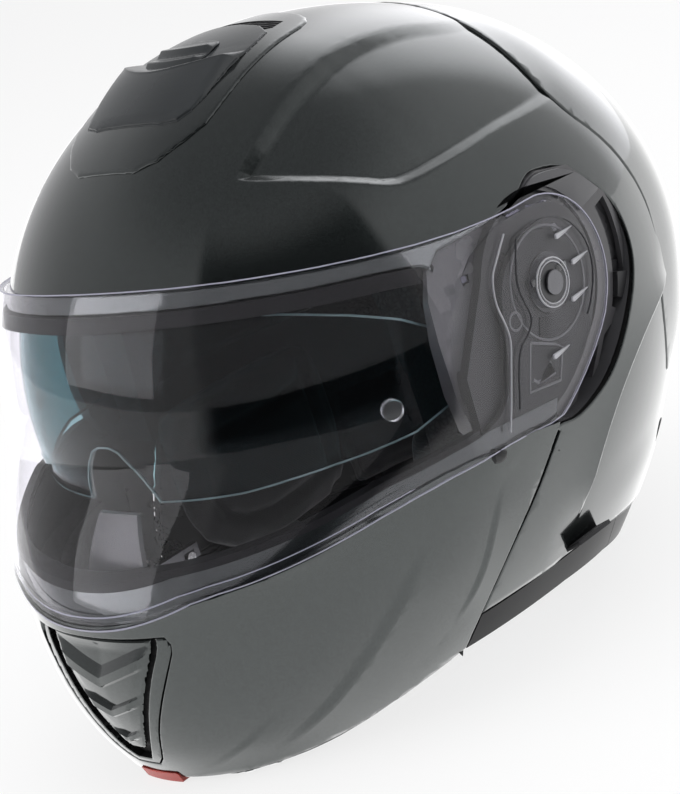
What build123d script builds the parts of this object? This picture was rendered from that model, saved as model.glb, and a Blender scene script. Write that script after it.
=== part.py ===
from build123d import *
from functools import lru_cache
from math import copysign, cos, pi, radians, sin
import os

os.makedirs("parts", exist_ok=True)

# Driving sizes of the helmet, in millimetres
WIDTH = 251.0
LENGTH = 345.0
HEIGHT = 266.0
SHELL_WALL = 3.2
SEAM = 0.8
FIT_GAP = 0.3
RUN_GAP = 0.25
OVERRUN_LOW = 5.0

# Shape of the form, as shares of the overall sizes
EQUATOR_SHARE = 0.489
MIDDLE_SHARE = -0.020
BROW_REACH_SHARE = 0.4104
REAR_REACH_SHARE = 0.5003
SIDE_TUCK_SHARE = 0.371
REAR_TUCK_SHARE = 0.189
SIDE_TUCK_POWER = 2.05
REAR_TUCK_POWER = 1.6
SQUARENESS = 2.19
CHIN_SHARES = [(0, -0.455), (0.154, -0.484), (0.346, -0.4986), (0.577, -0.490), (0.808, -0.455),
               (1, -BROW_REACH_SHARE)]
LOW_STATION_SHARES = [0, 0.14, 0.3, 0.46, 0.62, 0.8, 1]
LATITUDES = [18, 35, 50, 62, 72, 79, 85]
RING_POINTS = 32

EQUATOR = EQUATOR_SHARE * HEIGHT
MIDDLE_Y = MIDDLE_SHARE * LENGTH
HALF_WIDTH = WIDTH / 2


def chin_line(height):
    """Foremost point of the form at a height below the equator, a smooth curve through its knots."""
    knots = [(h * EQUATOR, y * LENGTH) for h, y in CHIN_SHARES]
    slopes = [(b[1] - a[1]) / (b[0] - a[0]) for a, b in zip(knots, knots[1:])]
    turns = [slopes[0]] + [(a + b) / 2 for a, b in zip(slopes, slopes[1:])] + [slopes[-1]]
    height = min(max(height, 0), EQUATOR)
    for i, (low, high) in enumerate(zip(knots, knots[1:])):
        if height <= high[0]:
            span = high[0] - low[0]
            t = (height - low[0]) / span
            return ((2 * t**3 - 3 * t**2 + 1) * low[1] + (t**3 - 2 * t**2 + t) * span * turns[i]
                    + (3 * t**2 - 2 * t**3) * high[1] + (t**3 - t**2) * span * turns[i + 1])


def low_size(height, inset, tuck=1.0):
    """Half width, front and rear of a section below the equator."""
    drop = max(EQUATOR - height, 0) / EQUATOR
    half = HALF_WIDTH * (1 - SIDE_TUCK_SHARE * tuck * drop**SIDE_TUCK_POWER) - inset
    rear = LENGTH * (REAR_REACH_SHARE - REAR_TUCK_SHARE * tuck * drop**REAR_TUCK_POWER) - inset
    return half, chin_line(height) + inset, rear


def dome_size(latitude, inset):
    """Height, half width, front and rear of a section of the dome at a latitude in degrees."""
    round_in = cos(radians(latitude))
    height = EQUATOR + (HEIGHT - EQUATOR - inset) * sin(radians(latitude))
    front = MIDDLE_Y - (BROW_REACH_SHARE * LENGTH + MIDDLE_Y - inset) * round_in
    rear = MIDDLE_Y + (REAR_REACH_SHARE * LENGTH - MIDDLE_Y - inset) * round_in
    return height, (HALF_WIDTH - inset) * round_in, front, rear


def section(height, half, front, rear):
    """Level section of the form: a rounded oval whose front and rear halves differ in length."""
    points = []
    for i in range(RING_POINTS):
        turn = 2 * pi * i / RING_POINTS
        side = copysign(abs(sin(turn)) ** (2 / SQUARENESS), sin(turn))
        along = copysign(abs(cos(turn)) ** (2 / SQUARENESS), cos(turn))
        reach = rear - MIDDLE_Y if along > 0 else MIDDLE_Y - front
        points.append((half * side, MIDDLE_Y + reach * along, height))
    return make_face(Spline(*points, periodic=True))


@lru_cache(maxsize=None)
def helmet_form(inset, tuck=1.0, floor=0.0):
    """Solid of the helmet's outer form, moved in by inset all round, down to a floor height."""
    low = [floor + share * (EQUATOR - floor) for share in LOW_STATION_SHARES]
    faces = [section(z, *low_size(z, inset, tuck)) for z in low]
    faces += [section(*dome_size(a, inset)) for a in LATITUDES]
    return loft(faces)


def skin_half_width(y, z, inset=0.0):
    """Distance from the middle plane to the form at a point of the side view."""
    if z > EQUATOR:
        rise = (z - EQUATOR) / (HEIGHT - EQUATOR - inset)
        round_in = (1 - rise**2) ** 0.5
        front = MIDDLE_Y - (BROW_REACH_SHARE * LENGTH + MIDDLE_Y - inset) * round_in
        rear = MIDDLE_Y + (REAR_REACH_SHARE * LENGTH - MIDDLE_Y - inset) * round_in
        half = (HALF_WIDTH - inset) * round_in
    else:
        half, front, rear = low_size(z, inset)
    reach = rear - MIDDLE_Y if y > MIDDLE_Y else MIDDLE_Y - front
    return half * (1 - (abs(y - MIDDLE_Y) / reach) ** SQUARENESS) ** (1 / SQUARENESS)


def skin_plane(y, z, inset=0.0):
    """Plane that touches the left side of the form at a point of the side view, facing outwards."""
    step = SEAM
    here = skin_half_width(y, z, inset)
    along = (skin_half_width(y + step, z, inset) - here) / step
    upward = (skin_half_width(y, z + step, inset) - here) / step
    return Plane((here, y, z), z_dir=Vector(1, -along, -upward))


def side_points(shares):
    """Points of a side view, from shares of the length and the height."""
    return [(y * LENGTH, z * HEIGHT) for y, z in shares]


def side_face(shares):
    """Side-view outline as a face."""
    return make_face(Polyline(*side_points(shares), close=True))


def side_disc(y, z, radius):
    """Round side-view face."""
    return Pos(y, z) * Circle(radius)


def side_block(face, near, far):
    """Block of a side-view outline on the left, between two distances from the middle plane."""
    return extrude(Plane.YZ.offset(near) * face, far - near)


def across(face):
    """Block of a side-view outline that runs right through the helmet."""
    return extrude(Plane.YZ * face, WIDTH, both=True)


def mirrored(solid):
    """The same piece for the wearer's right side."""
    return mirror(solid, about=Plane.YZ)


def both(solid):
    """A left piece and its mirror image."""
    return solid + mirrored(solid)


def skin(outer, inner, mask, tuck=1.0):
    """Curved wall between two insets of the form, where the mask is."""
    return (mask & helmet_form(outer, tuck, -OVERRUN_LOW)) - helmet_form(inner, tuck, -2 * OVERRUN_LOW)


def front_block(points):
    """Block of a front-view outline, given as its left half, that runs forward from the middle."""
    outline = points + [(-x, z) for x, z in reversed(points) if x > 0]
    return extrude(Plane.XZ * make_face(Polyline(*outline, close=True)), LENGTH)


def plan_block(points):
    """Block of a plan outline, given as its left half, that rises from the equator."""
    outline = points + [(-x, y) for x, y in reversed(points) if x > 0]
    return extrude(Plane.XY.offset(EQUATOR) * make_face(Polyline(*outline, close=True)), HEIGHT)


# Levels beside the pivot, as distances from the middle plane, from the visor inwards
VISOR_WALL = 2.2
VISOR_STAND = 2.0
ARM_WALL = 3.4
COVER_WALL = 2.2
SLIDER_WALL = 1.4
LAYER_GAP = 0.8
SIDE_DROP = 3.7

VISOR_OUT = HALF_WIDTH - SIDE_DROP
VISOR_IN = VISOR_OUT - VISOR_WALL
ARM_OUT = VISOR_IN - LAYER_GAP
ARM_IN = ARM_OUT - ARM_WALL
COVER_OUT = ARM_IN - LAYER_GAP
COVER_IN = COVER_OUT - COVER_WALL
SLIDER_OUT = COVER_IN - FIT_GAP
SLIDER_IN = SLIDER_OUT - SLIDER_WALL
RECESS_OUT = SLIDER_IN - FIT_GAP
RECESS_IN = RECESS_OUT - SHELL_WALL
HUB_OUT = VISOR_OUT + FIT_GAP

# Pivot of the chin bar and the visor, and pivot of the sun visor, in the side view
PIVOT_Y_SHARE = 0.0116
PIVOT_Z_SHARE = 0.549
PIVOT_Y = PIVOT_Y_SHARE * LENGTH
PIVOT_Z = PIVOT_Z_SHARE * HEIGHT
VISOR_DISC = 0.1316 * HEIGHT
ARM_DISC = 0.1166 * HEIGHT
BASE_DISC = 0.1308 * HEIGHT
SUN_PIVOT_Y = MIDDLE_Y
SUN_PIVOT_Z = EQUATOR

# Side-view outlines, as shares of the length and the height
FAR_SHARE = 0.7
SPLIT_SHARES = [(-0.035, 0.346), (-0.048, 0.330), (-0.069, 0.293), (-0.094, 0.252), (-0.120, 0.210),
                (-0.142, 0.165), (-0.160, 0.121), (-0.177, 0.062), (-0.192, -0.030)]
BROW_SHARES = [(-0.380, 0.703), (-0.267, 0.681), (-0.206, 0.671), (-0.168, 0.662), (-0.148, 0.632)]
PORT_SHARES = ([(-FAR_SHARE, 0.703)] + BROW_SHARES + [(-0.145, 0.353), (-0.036, 0.353)] + SPLIT_SHARES
               + [(-FAR_SHARE, -0.030)])
RECESS_SHARES = [(-0.174, 0.667), (-0.058, 0.671), (0.009, 0.683), (0.038, 0.701), (0.058, 0.705),
                 (0.113, 0.690), (0.165, 0.624), (0.180, 0.583), (0.181, 0.526), (0.174, 0.485),
                 (0.148, 0.440), (0.133, 0.413), (0.099, 0.365), (0.061, 0.355), (0.029, 0.335),
                 (0.003, 0.333), (-0.018, 0.344), (-0.035, 0.344), (-0.174, 0.344)]
SHELL_LOW_SHARES = [(-0.250, 0.111), (0, 0.113), (0.087, 0.107), (0.217, 0.083), (0.310, 0.053),
                    (FAR_SHARE, 0.045)]
RIM_SHARES = [(-FAR_SHARE, 0), (-0.420, 0), (-0.383, 0.004), (-0.319, 0.019), (-0.246, 0.041),
              (-0.177, 0.062), (0, 0.060), (0.096, 0.051), (0.174, 0.030), (0.236, 0.010), (0.285, 0),
              (FAR_SHARE, 0)]
VISOR_TOP_SHARES = [(-FAR_SHARE, 0.741), (-0.391, 0.741), (-0.336, 0.726), (-0.243, 0.707),
                    (-0.128, 0.688), (-0.032, 0.680), (0.0116, 0.680)]
VISOR_REAR_SHARES = [(0.086, 0.455), (0.043, 0.408), (-0.005, 0.370), (-0.033, 0.355)]
VISOR_LOW_SHARES = [(-0.101, 0.366), (-0.191, 0.370), (-0.278, 0.360), (-0.351, 0.340), (-0.412, 0.324),
                    (-0.455, 0.315), (-0.478, 0.298), (-0.496, 0.284), (-0.510, 0.273),
                    (-FAR_SHARE, 0.273)]
VISOR_ROOM_SHARES = ([(-FAR_SHARE, 0.740), (0.0116, 0.740), (0.0116, 0.350), (-0.033, 0.350)]
                     + VISOR_LOW_SHARES)
CHIN_TOP_SHARES = [(-FAR_SHARE, 0.308), (-0.513, 0.308), (-0.455, 0.345), (-0.351, 0.368),
                   (-0.278, 0.389), (-0.191, 0.398), (-0.145, 0.400), (-0.144, 0.352), (0.050, 0.352)]
ARM_SHARES = [(-0.150, 0.352), (-0.150, 0.402), (-0.116, 0.408), (-0.078, 0.470), (-0.070, 0.549),
              (0.0116, 0.549), (0.087, 0.526), (0.078, 0.462), (0.035, 0.412), (-0.012, 0.370),
              (-0.038, 0.350)]


@lru_cache(maxsize=None)
def recess_block(grow, near):
    """The two side recesses, grown outwards by a margin, from a distance off the middle outwards."""
    return both(side_block(offset(side_face(RECESS_SHARES), grow), near, WIDTH))


@lru_cache(maxsize=None)
def port_block(grow):
    """Everything in front of the shell's front edge: the eye port and the room for the chin bar."""
    return across(offset(side_face(PORT_SHARES), grow))


def below(shares, drop=0.0):
    """Everything under a side-view line, the line lowered by a drop."""
    under = [(shares[-1][0], -FAR_SHARE), (shares[0][0], -FAR_SHARE)]
    face = side_face(shares + under)
    return across(Pos(0, -drop) * face)


# Outer shell, its rear cover and the round plugs in its lower rear corners
COVER_STAND = 2.0
COVER_SKIN = 1.7
REAR_COVER_SHARES = [(0.203, 1.06), (0.180, 0.835), (0.174, 0.760), (0.232, 0.673), (0.258, 0.590),
                     (0.255, 0.523), (0.229, 0.425), (0.232, 0.338), (0.250, 0.248), (FAR_SHARE, 0.218),
                     (FAR_SHARE, 1.06)]
PLUG_RADIUS = 7.0
PLUG_STAND = 0.8
PLUG_Y_SHARE = 0.252
PLUG_Z_SHARE = 0.166
VENT_SLOT_WIDTH = 26.0
VENT_SLOT_LENGTH = 7.0
VENT_SLOT_Y_SHARES = [-0.185, -0.120]


def vent_slots():
    """Two air slots under the top vent."""
    slots = [Pos(0, y * LENGTH) * SlotOverall(VENT_SLOT_WIDTH, VENT_SLOT_LENGTH) for y in VENT_SLOT_Y_SHARES]
    return extrude(Plane.XY.offset(EQUATOR) * Sketch(children=slots), HEIGHT)


def plug_plane():
    return skin_plane(PLUG_Y_SHARE * LENGTH, PLUG_Z_SHARE * HEIGHT)


def outer_shell():
    outside = helmet_form(0.0, 1.0, -OVERRUN_LOW) - recess_block(0.0, RECESS_OUT)
    inside = helmet_form(SHELL_WALL, 1.0, -2 * OVERRUN_LOW) - recess_block(SHELL_WALL, RECESS_IN)
    body = outside - inside - port_block(0.0) - below(SHELL_LOW_SHARES) - vent_slots()
    hole = plug_plane() * Cylinder(PLUG_RADIUS + FIT_GAP, 4 * SHELL_WALL)
    return body - both(hole)


def rear_cover():
    return skin(-COVER_STAND, COVER_SKIN - COVER_STAND, across(side_face(REAR_COVER_SHARES)))


def rear_plugs():
    thick = SHELL_WALL + PLUG_STAND
    disc = Cylinder(PLUG_RADIUS, thick)
    disc = fillet(disc.edges().sort_by(Axis.Z)[-1], PLUG_STAND / 2)
    return both(plug_plane() * Pos(0, 0, PLUG_STAND - thick / 2) * disc)


# Black trims along the shell's lower edge
TRIM_WALL = 6.0
TRIM_JOINT_SHARE = 0.111
TRIM_REAR_SHARE = 0.112


def trim_ring():
    """The whole trim behind the split line, under the shell's edge."""
    ring = helmet_form(0.0, 1.0, -OVERRUN_LOW) & below(SHELL_LOW_SHARES, FIT_GAP)
    ring = ring - helmet_form(TRIM_WALL, 1.0, -2 * OVERRUN_LOW)
    return ring - below(RIM_SHARES) - port_block(0.0)


def side_trim():
    reach = TRIM_JOINT_SHARE * LENGTH
    return trim_ring() & Pos(WIDTH / 2, reach - LENGTH / 2, 0) * Box(WIDTH, LENGTH, HEIGHT)


def rear_trim():
    reach = TRIM_REAR_SHARE * LENGTH
    return trim_ring() & Pos(0, reach + LENGTH / 2, 0) * Box(2 * WIDTH, LENGTH, HEIGHT)


# Hard foam liner, with the pocket that the sun visor slides up into
FOAM_WALL = 0.10435 * LENGTH
FOAM_GAP = 0.4
POCKET_DEPTH = 9.5
POCKET_SIDE = 24.0
CAVITY_TUCK = 0.35
FOAM_LOW_SHARE = 0.205
POCKET_SHARES = [(-FAR_SHARE, 0.300), (0.041, 0.421), (0.041, 0.549), (-0.064, 1.08), (-FAR_SHARE, 1.08)]


def foam_liner():
    outside = helmet_form(SHELL_WALL + FOAM_GAP) - recess_block(SHELL_WALL + FOAM_GAP, RECESS_IN - FOAM_GAP)
    inner_way = HALF_WIDTH - POCKET_SIDE
    core = helmet_form(POCKET_DEPTH) & Box(2 * inner_way, 2 * LENGTH, 4 * HEIGHT)
    pocket = across(side_face(POCKET_SHARES)) - core
    cavity = helmet_form(FOAM_WALL, CAVITY_TUCK, -OVERRUN_LOW)
    low = FOAM_LOW_SHARE * HEIGHT
    floor = Pos(0, 0, low - HEIGHT) * Box(2 * WIDTH, 3 * LENGTH, 2 * HEIGHT)
    return outside - pocket - cavity - port_block(2 * SEAM) - floor


# Comfort padding: crown liner, cheek pads and neck roll
CROWN_WALL = 8.0
CROWN_LOW_SHARE = 0.425
PORT_MARGIN = 5.0
PAD_SHARES = [(-0.145, 0.115), (0.130, 0.115), (0.145, 0.170), (0.145, 0.390), (0.115, 0.405),
              (-0.130, 0.405), (-0.145, 0.360)]
PAD_INNER_SHARE = 0.235
PAD_CROWN_RADIUS = 130.0
PAD_EDGE = 6.0
ROLL_WALL = 15.0
ROLL_FRONT_SHARE = 0.160
ROLL_LOW_SHARE = 0.100
ROLL_HIGH_SHARE = 0.290
PAD_MIDDLE_Z_SHARE = 0.255


def crown_liner():
    low = CROWN_LOW_SHARE * HEIGHT
    above = Pos(0, 0, low + HEIGHT) * Box(2 * WIDTH, 2 * LENGTH, 2 * HEIGHT)
    inset = FOAM_WALL + FIT_GAP
    cap = skin(inset, inset + CROWN_WALL, above, CAVITY_TUCK)
    return cap - port_block(PORT_MARGIN)


def cheek_pad():
    """Left cheek pad, crowned towards the face and drawn in at its rim."""
    face = fillet(side_face(PAD_SHARES).vertices(), PAD_EDGE)
    crown = Pos(PAD_INNER_SHARE * WIDTH + PAD_CROWN_RADIUS, 0, PAD_MIDDLE_Z_SHARE * HEIGHT)
    block = side_block(face, 0, HALF_WIDTH) & crown * Sphere(PAD_CROWN_RADIUS)
    return block & helmet_form(FOAM_WALL + FIT_GAP, CAVITY_TUCK, -OVERRUN_LOW)


def neck_roll():
    low, high = ROLL_LOW_SHARE * HEIGHT, ROLL_HIGH_SHARE * HEIGHT
    front = ROLL_FRONT_SHARE * LENGTH
    mask = Pos(0, front + LENGTH / 2, (low + high) / 2) * Box(2 * WIDTH, LENGTH, high - low)
    inset = FOAM_WALL + FIT_GAP
    roll = skin(inset, inset + ROLL_WALL, mask, CAVITY_TUCK)
    return fillet(roll.edges().filter_by(GeomType.LINE, reverse=True), PAD_EDGE / 2)


# Pivot base plates on the recess floor, with the boss that the chin bar turns on
BOSS_RADIUS = 8.75
SCREW_RADIUS = 3.0
SCREW_HEAD = 5.0
SCREW_HEAD_THICK = 1.4
SMALL_SCREW_RADIUS = 1.6
SMALL_SCREW_RING = 24.0
FOOT_SHARES = [(-0.145, 0.370), (-0.145, 0.480), (-0.060, 0.640), (0.070, 0.440), (0.020, 0.395),
               (-0.020, 0.370)]
SMALL_SCREW_COUNT = 4


def ring_places(radius, count):
    """Places in the side view, evenly round the pivot."""
    turns = [2 * pi * (i + 1 / 2) / count for i in range(count)]
    return [(PIVOT_Y + radius * cos(t), PIVOT_Z + radius * sin(t)) for t in turns]


def pivot_base():
    face = side_disc(PIVOT_Y, PIVOT_Z, BASE_DISC) + side_face(FOOT_SHARES)
    plate = side_block(face, SLIDER_IN, COVER_OUT)
    boss = side_block(side_disc(PIVOT_Y, PIVOT_Z, BOSS_RADIUS), COVER_OUT, ARM_OUT - RUN_GAP)
    bore = side_block(side_disc(PIVOT_Y, PIVOT_Z, SCREW_RADIUS + RUN_GAP), SLIDER_IN, ARM_OUT)
    plate = plate + boss - bore
    for y, z in ring_places(SMALL_SCREW_RING, SMALL_SCREW_COUNT):
        plate -= side_block(side_disc(y, z, SMALL_SCREW_RADIUS + RUN_GAP), SLIDER_IN, ARM_IN)
    return plate


def base_screws():
    """The small screws that hold the base plates down on the shell."""
    left = Part()
    for y, z in ring_places(SMALL_SCREW_RING, SMALL_SCREW_COUNT):
        left += side_block(side_disc(y, z, SMALL_SCREW_RADIUS), SLIDER_IN, COVER_OUT)
    return both(left)


def pivot_screws():
    """The two large screws that keep the chin bar and the visor on their bosses."""
    shank = side_block(side_disc(PIVOT_Y, PIVOT_Z, SCREW_RADIUS), SLIDER_IN, HUB_OUT + FIT_GAP)
    head = side_block(side_disc(PIVOT_Y, PIVOT_Z, SCREW_HEAD), HUB_OUT + FIT_GAP, HUB_OUT + SCREW_HEAD_THICK)
    head = fillet(head.edges().sort_by(Axis.X)[-1], SCREW_HEAD_THICK / 3)
    return both(shank + head)


# Black side covers in the rear of the recesses, and the sun visor's slider in the left one
SLOT_IN = 0.1786 * HEIGHT
SLOT_OUT = 0.2049 * HEIGHT
SLOT_LOW = -33.0
SLOT_HIGH = 19.0
COVER_EDGE = 0.6
COVER_FRONT_SHARE = -0.030
KNOB_TURN = -22.0
KNOB_SPREAD = 6.0
KNOB_STAND = 2.2
SLIDER_SPREAD = 11.0
RIM_WIDTH = 1.6
RIB_POCKET_SHARES = [(0.012, 0.352), (0.040, 0.352), (0.068, 0.368), (0.125, 0.415), (0.118, 0.428),
                     (0.066, 0.400)]
RIB_WIDTH = 2.4
RIB_TURN = 50.0
RIB_Y_SHARES = [0.050, 0.084]


def ring_sector(inner, outer, start, end):
    """Side-view sector of a ring round the pivot, between two turns in degrees from the rear."""
    sweep = [radians(start + (end - start) * i / 2) for i in range(3)]
    far = [(PIVOT_Y + outer * cos(a), PIVOT_Z + outer * sin(a)) for a in sweep]
    near = [(PIVOT_Y + inner * cos(a), PIVOT_Z + inner * sin(a)) for a in sweep]
    edges = [ThreePointArc(*far), Line(far[2], near[2]), ThreePointArc(*near[::-1]), Line(near[0], far[0])]
    return make_face(Wire(edges))


def cover_face(margin):
    """Outline of the side cover: the recess behind the base plate, inside a margin."""
    front = COVER_FRONT_SHARE * LENGTH
    room = offset(side_face(RECESS_SHARES), -margin)
    room = room & Pos(front + LENGTH / 2, HEIGHT / 2) * Rectangle(LENGTH, HEIGHT)
    over_arm = Pos(PIVOT_Y - LENGTH / 2, PIVOT_Z + HEIGHT / 2) * Rectangle(LENGTH, HEIGHT)
    return room - side_disc(PIVOT_Y, PIVOT_Z, BASE_DISC + RIM_WIDTH) - side_face(FOOT_SHARES) - over_arm


def side_cover(slotted):
    """Side cover with its rim; the left one has the slot that the slider's knob runs in."""
    plate = side_block(cover_face(COVER_EDGE), COVER_IN, COVER_OUT)
    rim_face = offset(side_face(RECESS_SHARES), -COVER_EDGE) - offset(side_face(RECESS_SHARES), -RIM_WIDTH)
    rim = side_block(rim_face & cover_face(COVER_EDGE), SLIDER_IN, COVER_IN)
    cover = plate + rim - side_block(side_face(RIB_POCKET_SHARES), RECESS_OUT, ARM_IN)
    for y_share in RIB_Y_SHARES:
        bar = Rot(0, 0, RIB_TURN) * Rectangle(LENGTH, RIB_WIDTH)
        bar = Pos(y_share * LENGTH, RIB_POCKET_SHARES[-1][1] * HEIGHT) * bar
        cover += side_block(bar & side_face(RIB_POCKET_SHARES), COVER_IN, COVER_OUT)
    if slotted:
        slot = ring_sector(SLOT_IN, SLOT_OUT, SLOT_LOW, SLOT_HIGH)
        first, last = SLOT_LOW - KNOB_SPREAD, SLOT_HIGH + KNOB_SPREAD
        room = ring_sector(SLOT_IN - 2 * RIM_WIDTH, SLOT_OUT + SEAM, first, last)
        cover -= side_block(slot, COVER_IN, COVER_OUT) + side_block(room, SLIDER_IN, COVER_IN)
    return cover


def sun_visor_slider():
    first, last = KNOB_TURN - SLIDER_SPREAD, KNOB_TURN + SLIDER_SPREAD
    plate = ring_sector(SLOT_IN - RIM_WIDTH, SLOT_OUT + FIT_GAP, first, last)
    first, last = KNOB_TURN - KNOB_SPREAD, KNOB_TURN + KNOB_SPREAD
    knob = ring_sector(SLOT_IN + FIT_GAP, SLOT_OUT - FIT_GAP, first, last)
    return side_block(plate, SLIDER_IN, SLIDER_OUT) + side_block(knob, SLIDER_OUT, COVER_OUT + KNOB_STAND)


# Rubber seals round the eye port: one on the shell's brow, one on the chin bar's top edge
SEAL_STAND = 1.2
SEAL_DEPTH = 4.6
SEAL_HEIGHT = 6.0
SEAL_REAR_SHARE = -0.160


def brow_gasket():
    """Rubber strip under the shell's brow edge."""
    line = [(-FAR_SHARE, BROW_SHARES[0][1])] + BROW_SHARES[:4] + [(BROW_SHARES[3][0], 0)]
    strip = below(line, FIT_GAP) - below(line, FIT_GAP + SEAL_HEIGHT)
    front = SEAL_REAR_SHARE * LENGTH
    strip = strip & Pos(0, front - LENGTH / 2, HEIGHT) * Box(2 * WIDTH, LENGTH, 2 * HEIGHT)
    return skin(-SEAL_STAND, SEAL_DEPTH, strip)


def chin_gasket():
    """Rubber strip on the chin bar's top edge."""
    strip = below(CHIN_TOP_SHARES, -SEAL_HEIGHT / 2) - below(CHIN_TOP_SHARES, -FIT_GAP)
    front = SEAL_REAR_SHARE * LENGTH
    strip = strip & Pos(0, front - LENGTH / 2, 0) * Box(2 * ARM_OUT, LENGTH, 2 * HEIGHT)
    return skin(-SEAL_STAND, SHELL_WALL, strip)


# Top vent: base plate, fixed scoop and the shutter that slides along it
VENT_PLATE_SHARES = [(0.082, -0.270), (0.149, -0.207), (0.147, -0.138), (0.123, -0.031), (0.102, 0.028),
                     (0.061, 0.056)]
VENT_SCOOP_SHARES = [(0.073, -0.226), (0.107, -0.225), (0.133, -0.196), (0.131, -0.128), (0.122, -0.060),
                     (0.090, -0.020)]
VENT_SHUTTER_SHARES = [(0.062, -0.150), (0.066, -0.135), (0.066, -0.095), (0.058, -0.085)]
VENT_SINK = 0.3
VENT_PLATE_STAND = 1.8
VENT_SCOOP_STAND = 5.5
VENT_SHUTTER_STAND = 7.5
VENT_TRAVEL = 6.0
VENT_CHANNEL_DEPTH = 2.6


def plan_points(shares):
    """Points of a plan view's left half, from shares of the width and the length."""
    return [(x * WIDTH, y * LENGTH) for x, y in shares]


def top_vent_base():
    return skin(-VENT_PLATE_STAND, -VENT_SINK, plan_block(plan_points(VENT_PLATE_SHARES)))


def top_vent_scoop():
    scoop = skin(-VENT_SCOOP_STAND, -VENT_PLATE_STAND - FIT_GAP, plan_block(plan_points(VENT_SCOOP_SHARES)))
    start = VENT_SHUTTER_SHARES[0][1] * LENGTH - SEAM
    end = VENT_SHUTTER_SHARES[-1][1] * LENGTH + SEAM + VENT_TRAVEL
    side = VENT_SHUTTER_SHARES[1][0] * WIDTH + SEAM
    channel = plan_block([(side, start), (side, end)])
    return scoop - (channel - helmet_form(-VENT_CHANNEL_DEPTH))


def top_vent_shutter():
    inner = -VENT_CHANNEL_DEPTH - LAYER_GAP
    return skin(-VENT_SHUTTER_STAND, inner, plan_block(plan_points(VENT_SHUTTER_SHARES)))


# Chin bar with its arms, foam and breath deflector
LIP_STAND = 3.0
LIP_HEIGHT = 8.0
LIP_REAR_SHARE = -0.330
HUB_FLANGE = 12.0
HUB_FLANGE_WALL = 0.5
HUB_RADIUS = 7.7
FRAME_SHARES = [(0.155, 0.245), (0.152, 0.215), (0.108, 0.150), (0.078, 0.100), (0.062, 0.045)]
FLAP_SHARES = [(0.112, 0.237), (0.104, 0.190), (0.082, 0.130), (0.058, 0.068)]
FRAME_WALL = 2.6
FLAP_SINK = 0.6
BUTTON_HALF_WIDTH = 11.0
BUTTON_HEIGHT = 5.0
BUTTON_DEPTH = 14.0
BUTTON_TRAVEL = 2.5
CHIN_FOAM_WALL = 12.0
CHIN_FOAM_REAR_SHARE = -0.225
CHIN_FOAM_HIGH_SHARE = 0.300
CHIN_FOAM_LOW_SHARE = 0.010
DEFLECTOR_SHARES = [(0.075, 0.26), (0.078, 0.30), (0.045, 0.405)]
DEFLECTOR_WALL = 2.2
PIN_RADIUS = 4.2
PIN_STAND = 0.9
PIN_Y_SHARE = -0.252
PIN_Z_SHARE = 0.492


def front_points(shares):
    """Points of a front view's left half, from shares of the width and the height."""
    return [(x * WIDTH, z * HEIGHT) for x, z in shares]


def grown(points, margin):
    """A front-view half outline moved outwards by a margin, away from its own middle."""
    middle = sum(z for _, z in points) / len(points)
    return [(x + margin, z + copysign(margin, z - middle)) for x, z in points]


def button_block(gap, travel):
    """Room for the release button in the chin bar's lower edge."""
    front, rear = chin_line(0) - SHELL_WALL, chin_line(0) + BUTTON_DEPTH + gap
    width = 2 * (BUTTON_HALF_WIDTH + gap)
    height = BUTTON_HEIGHT + travel + gap
    return Pos(0, (front + rear) / 2, height / 2) * Box(width, rear - front, height)


def chin_bar():
    outside = helmet_form(0.0, 1.0, -OVERRUN_LOW)
    lip = below(VISOR_LOW_SHARES[::-1], SEAM)
    between_arms = Box(2 * ARM_OUT, 3 * LENGTH, 3 * HEIGHT)
    flats = Pos(0, 0, -SEAM) * across(side_face(VISOR_ROOM_SHARES)) - between_arms
    inside = helmet_form(SHELL_WALL, 1.0, -2 * OVERRUN_LOW) & Box(2 * ARM_IN, 3 * LENGTH, 3 * HEIGHT)
    reach = LIP_REAR_SHARE * LENGTH
    lip_room = Pos(0, reach - LENGTH / 2, 0) * Box(2 * WIDTH, LENGTH, 3 * HEIGHT)
    ledge = helmet_form(-LIP_STAND) & (lip & lip_room) - Pos(0, 0, -LIP_HEIGHT) * lip
    front = port_block(-SEAM) & below(CHIN_TOP_SHARES)
    bar = ((outside - flats) & front) + ledge - inside - below(RIM_SHARES)
    arm = side_block(side_face(ARM_SHARES) + side_disc(PIVOT_Y, PIVOT_Z, ARM_DISC), ARM_IN, ARM_OUT)
    arm -= side_block(side_disc(PIVOT_Y, PIVOT_Z, BOSS_RADIUS + RUN_GAP), 0, WIDTH)
    opening = front_block(grown(front_points(FRAME_SHARES), FIT_GAP))
    return bar + both(arm) - opening - button_block(SEAM, BUTTON_TRAVEL)


def chin_vent_frame():
    plate = skin(0.0, FRAME_WALL, front_block(front_points(FRAME_SHARES)))
    return plate - front_block(grown(front_points(FLAP_SHARES), SEAM))


def chin_vent_flap():
    return skin(FLAP_SINK, FRAME_WALL, front_block(front_points(FLAP_SHARES)))


def chin_foam():
    """Foam behind the chin bar's wall, with room for the button."""
    rear = CHIN_FOAM_REAR_SHARE * LENGTH
    low, high = CHIN_FOAM_LOW_SHARE * HEIGHT, CHIN_FOAM_HIGH_SHARE * HEIGHT
    mask = Pos(0, rear - LENGTH / 2, (low + high) / 2) * Box(2 * WIDTH, LENGTH, high - low)
    foam = skin(SHELL_WALL + SEAM, SHELL_WALL + CHIN_FOAM_WALL, mask)
    return foam - below(RIM_SHARES, -BUTTON_HEIGHT / 2) - button_block(SEAM, BUTTON_TRAVEL)


def breath_deflector():
    inset = SHELL_WALL + CHIN_FOAM_WALL + FIT_GAP
    return skin(inset, inset + DEFLECTOR_WALL, front_block(front_points(DEFLECTOR_SHARES)))


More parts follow.
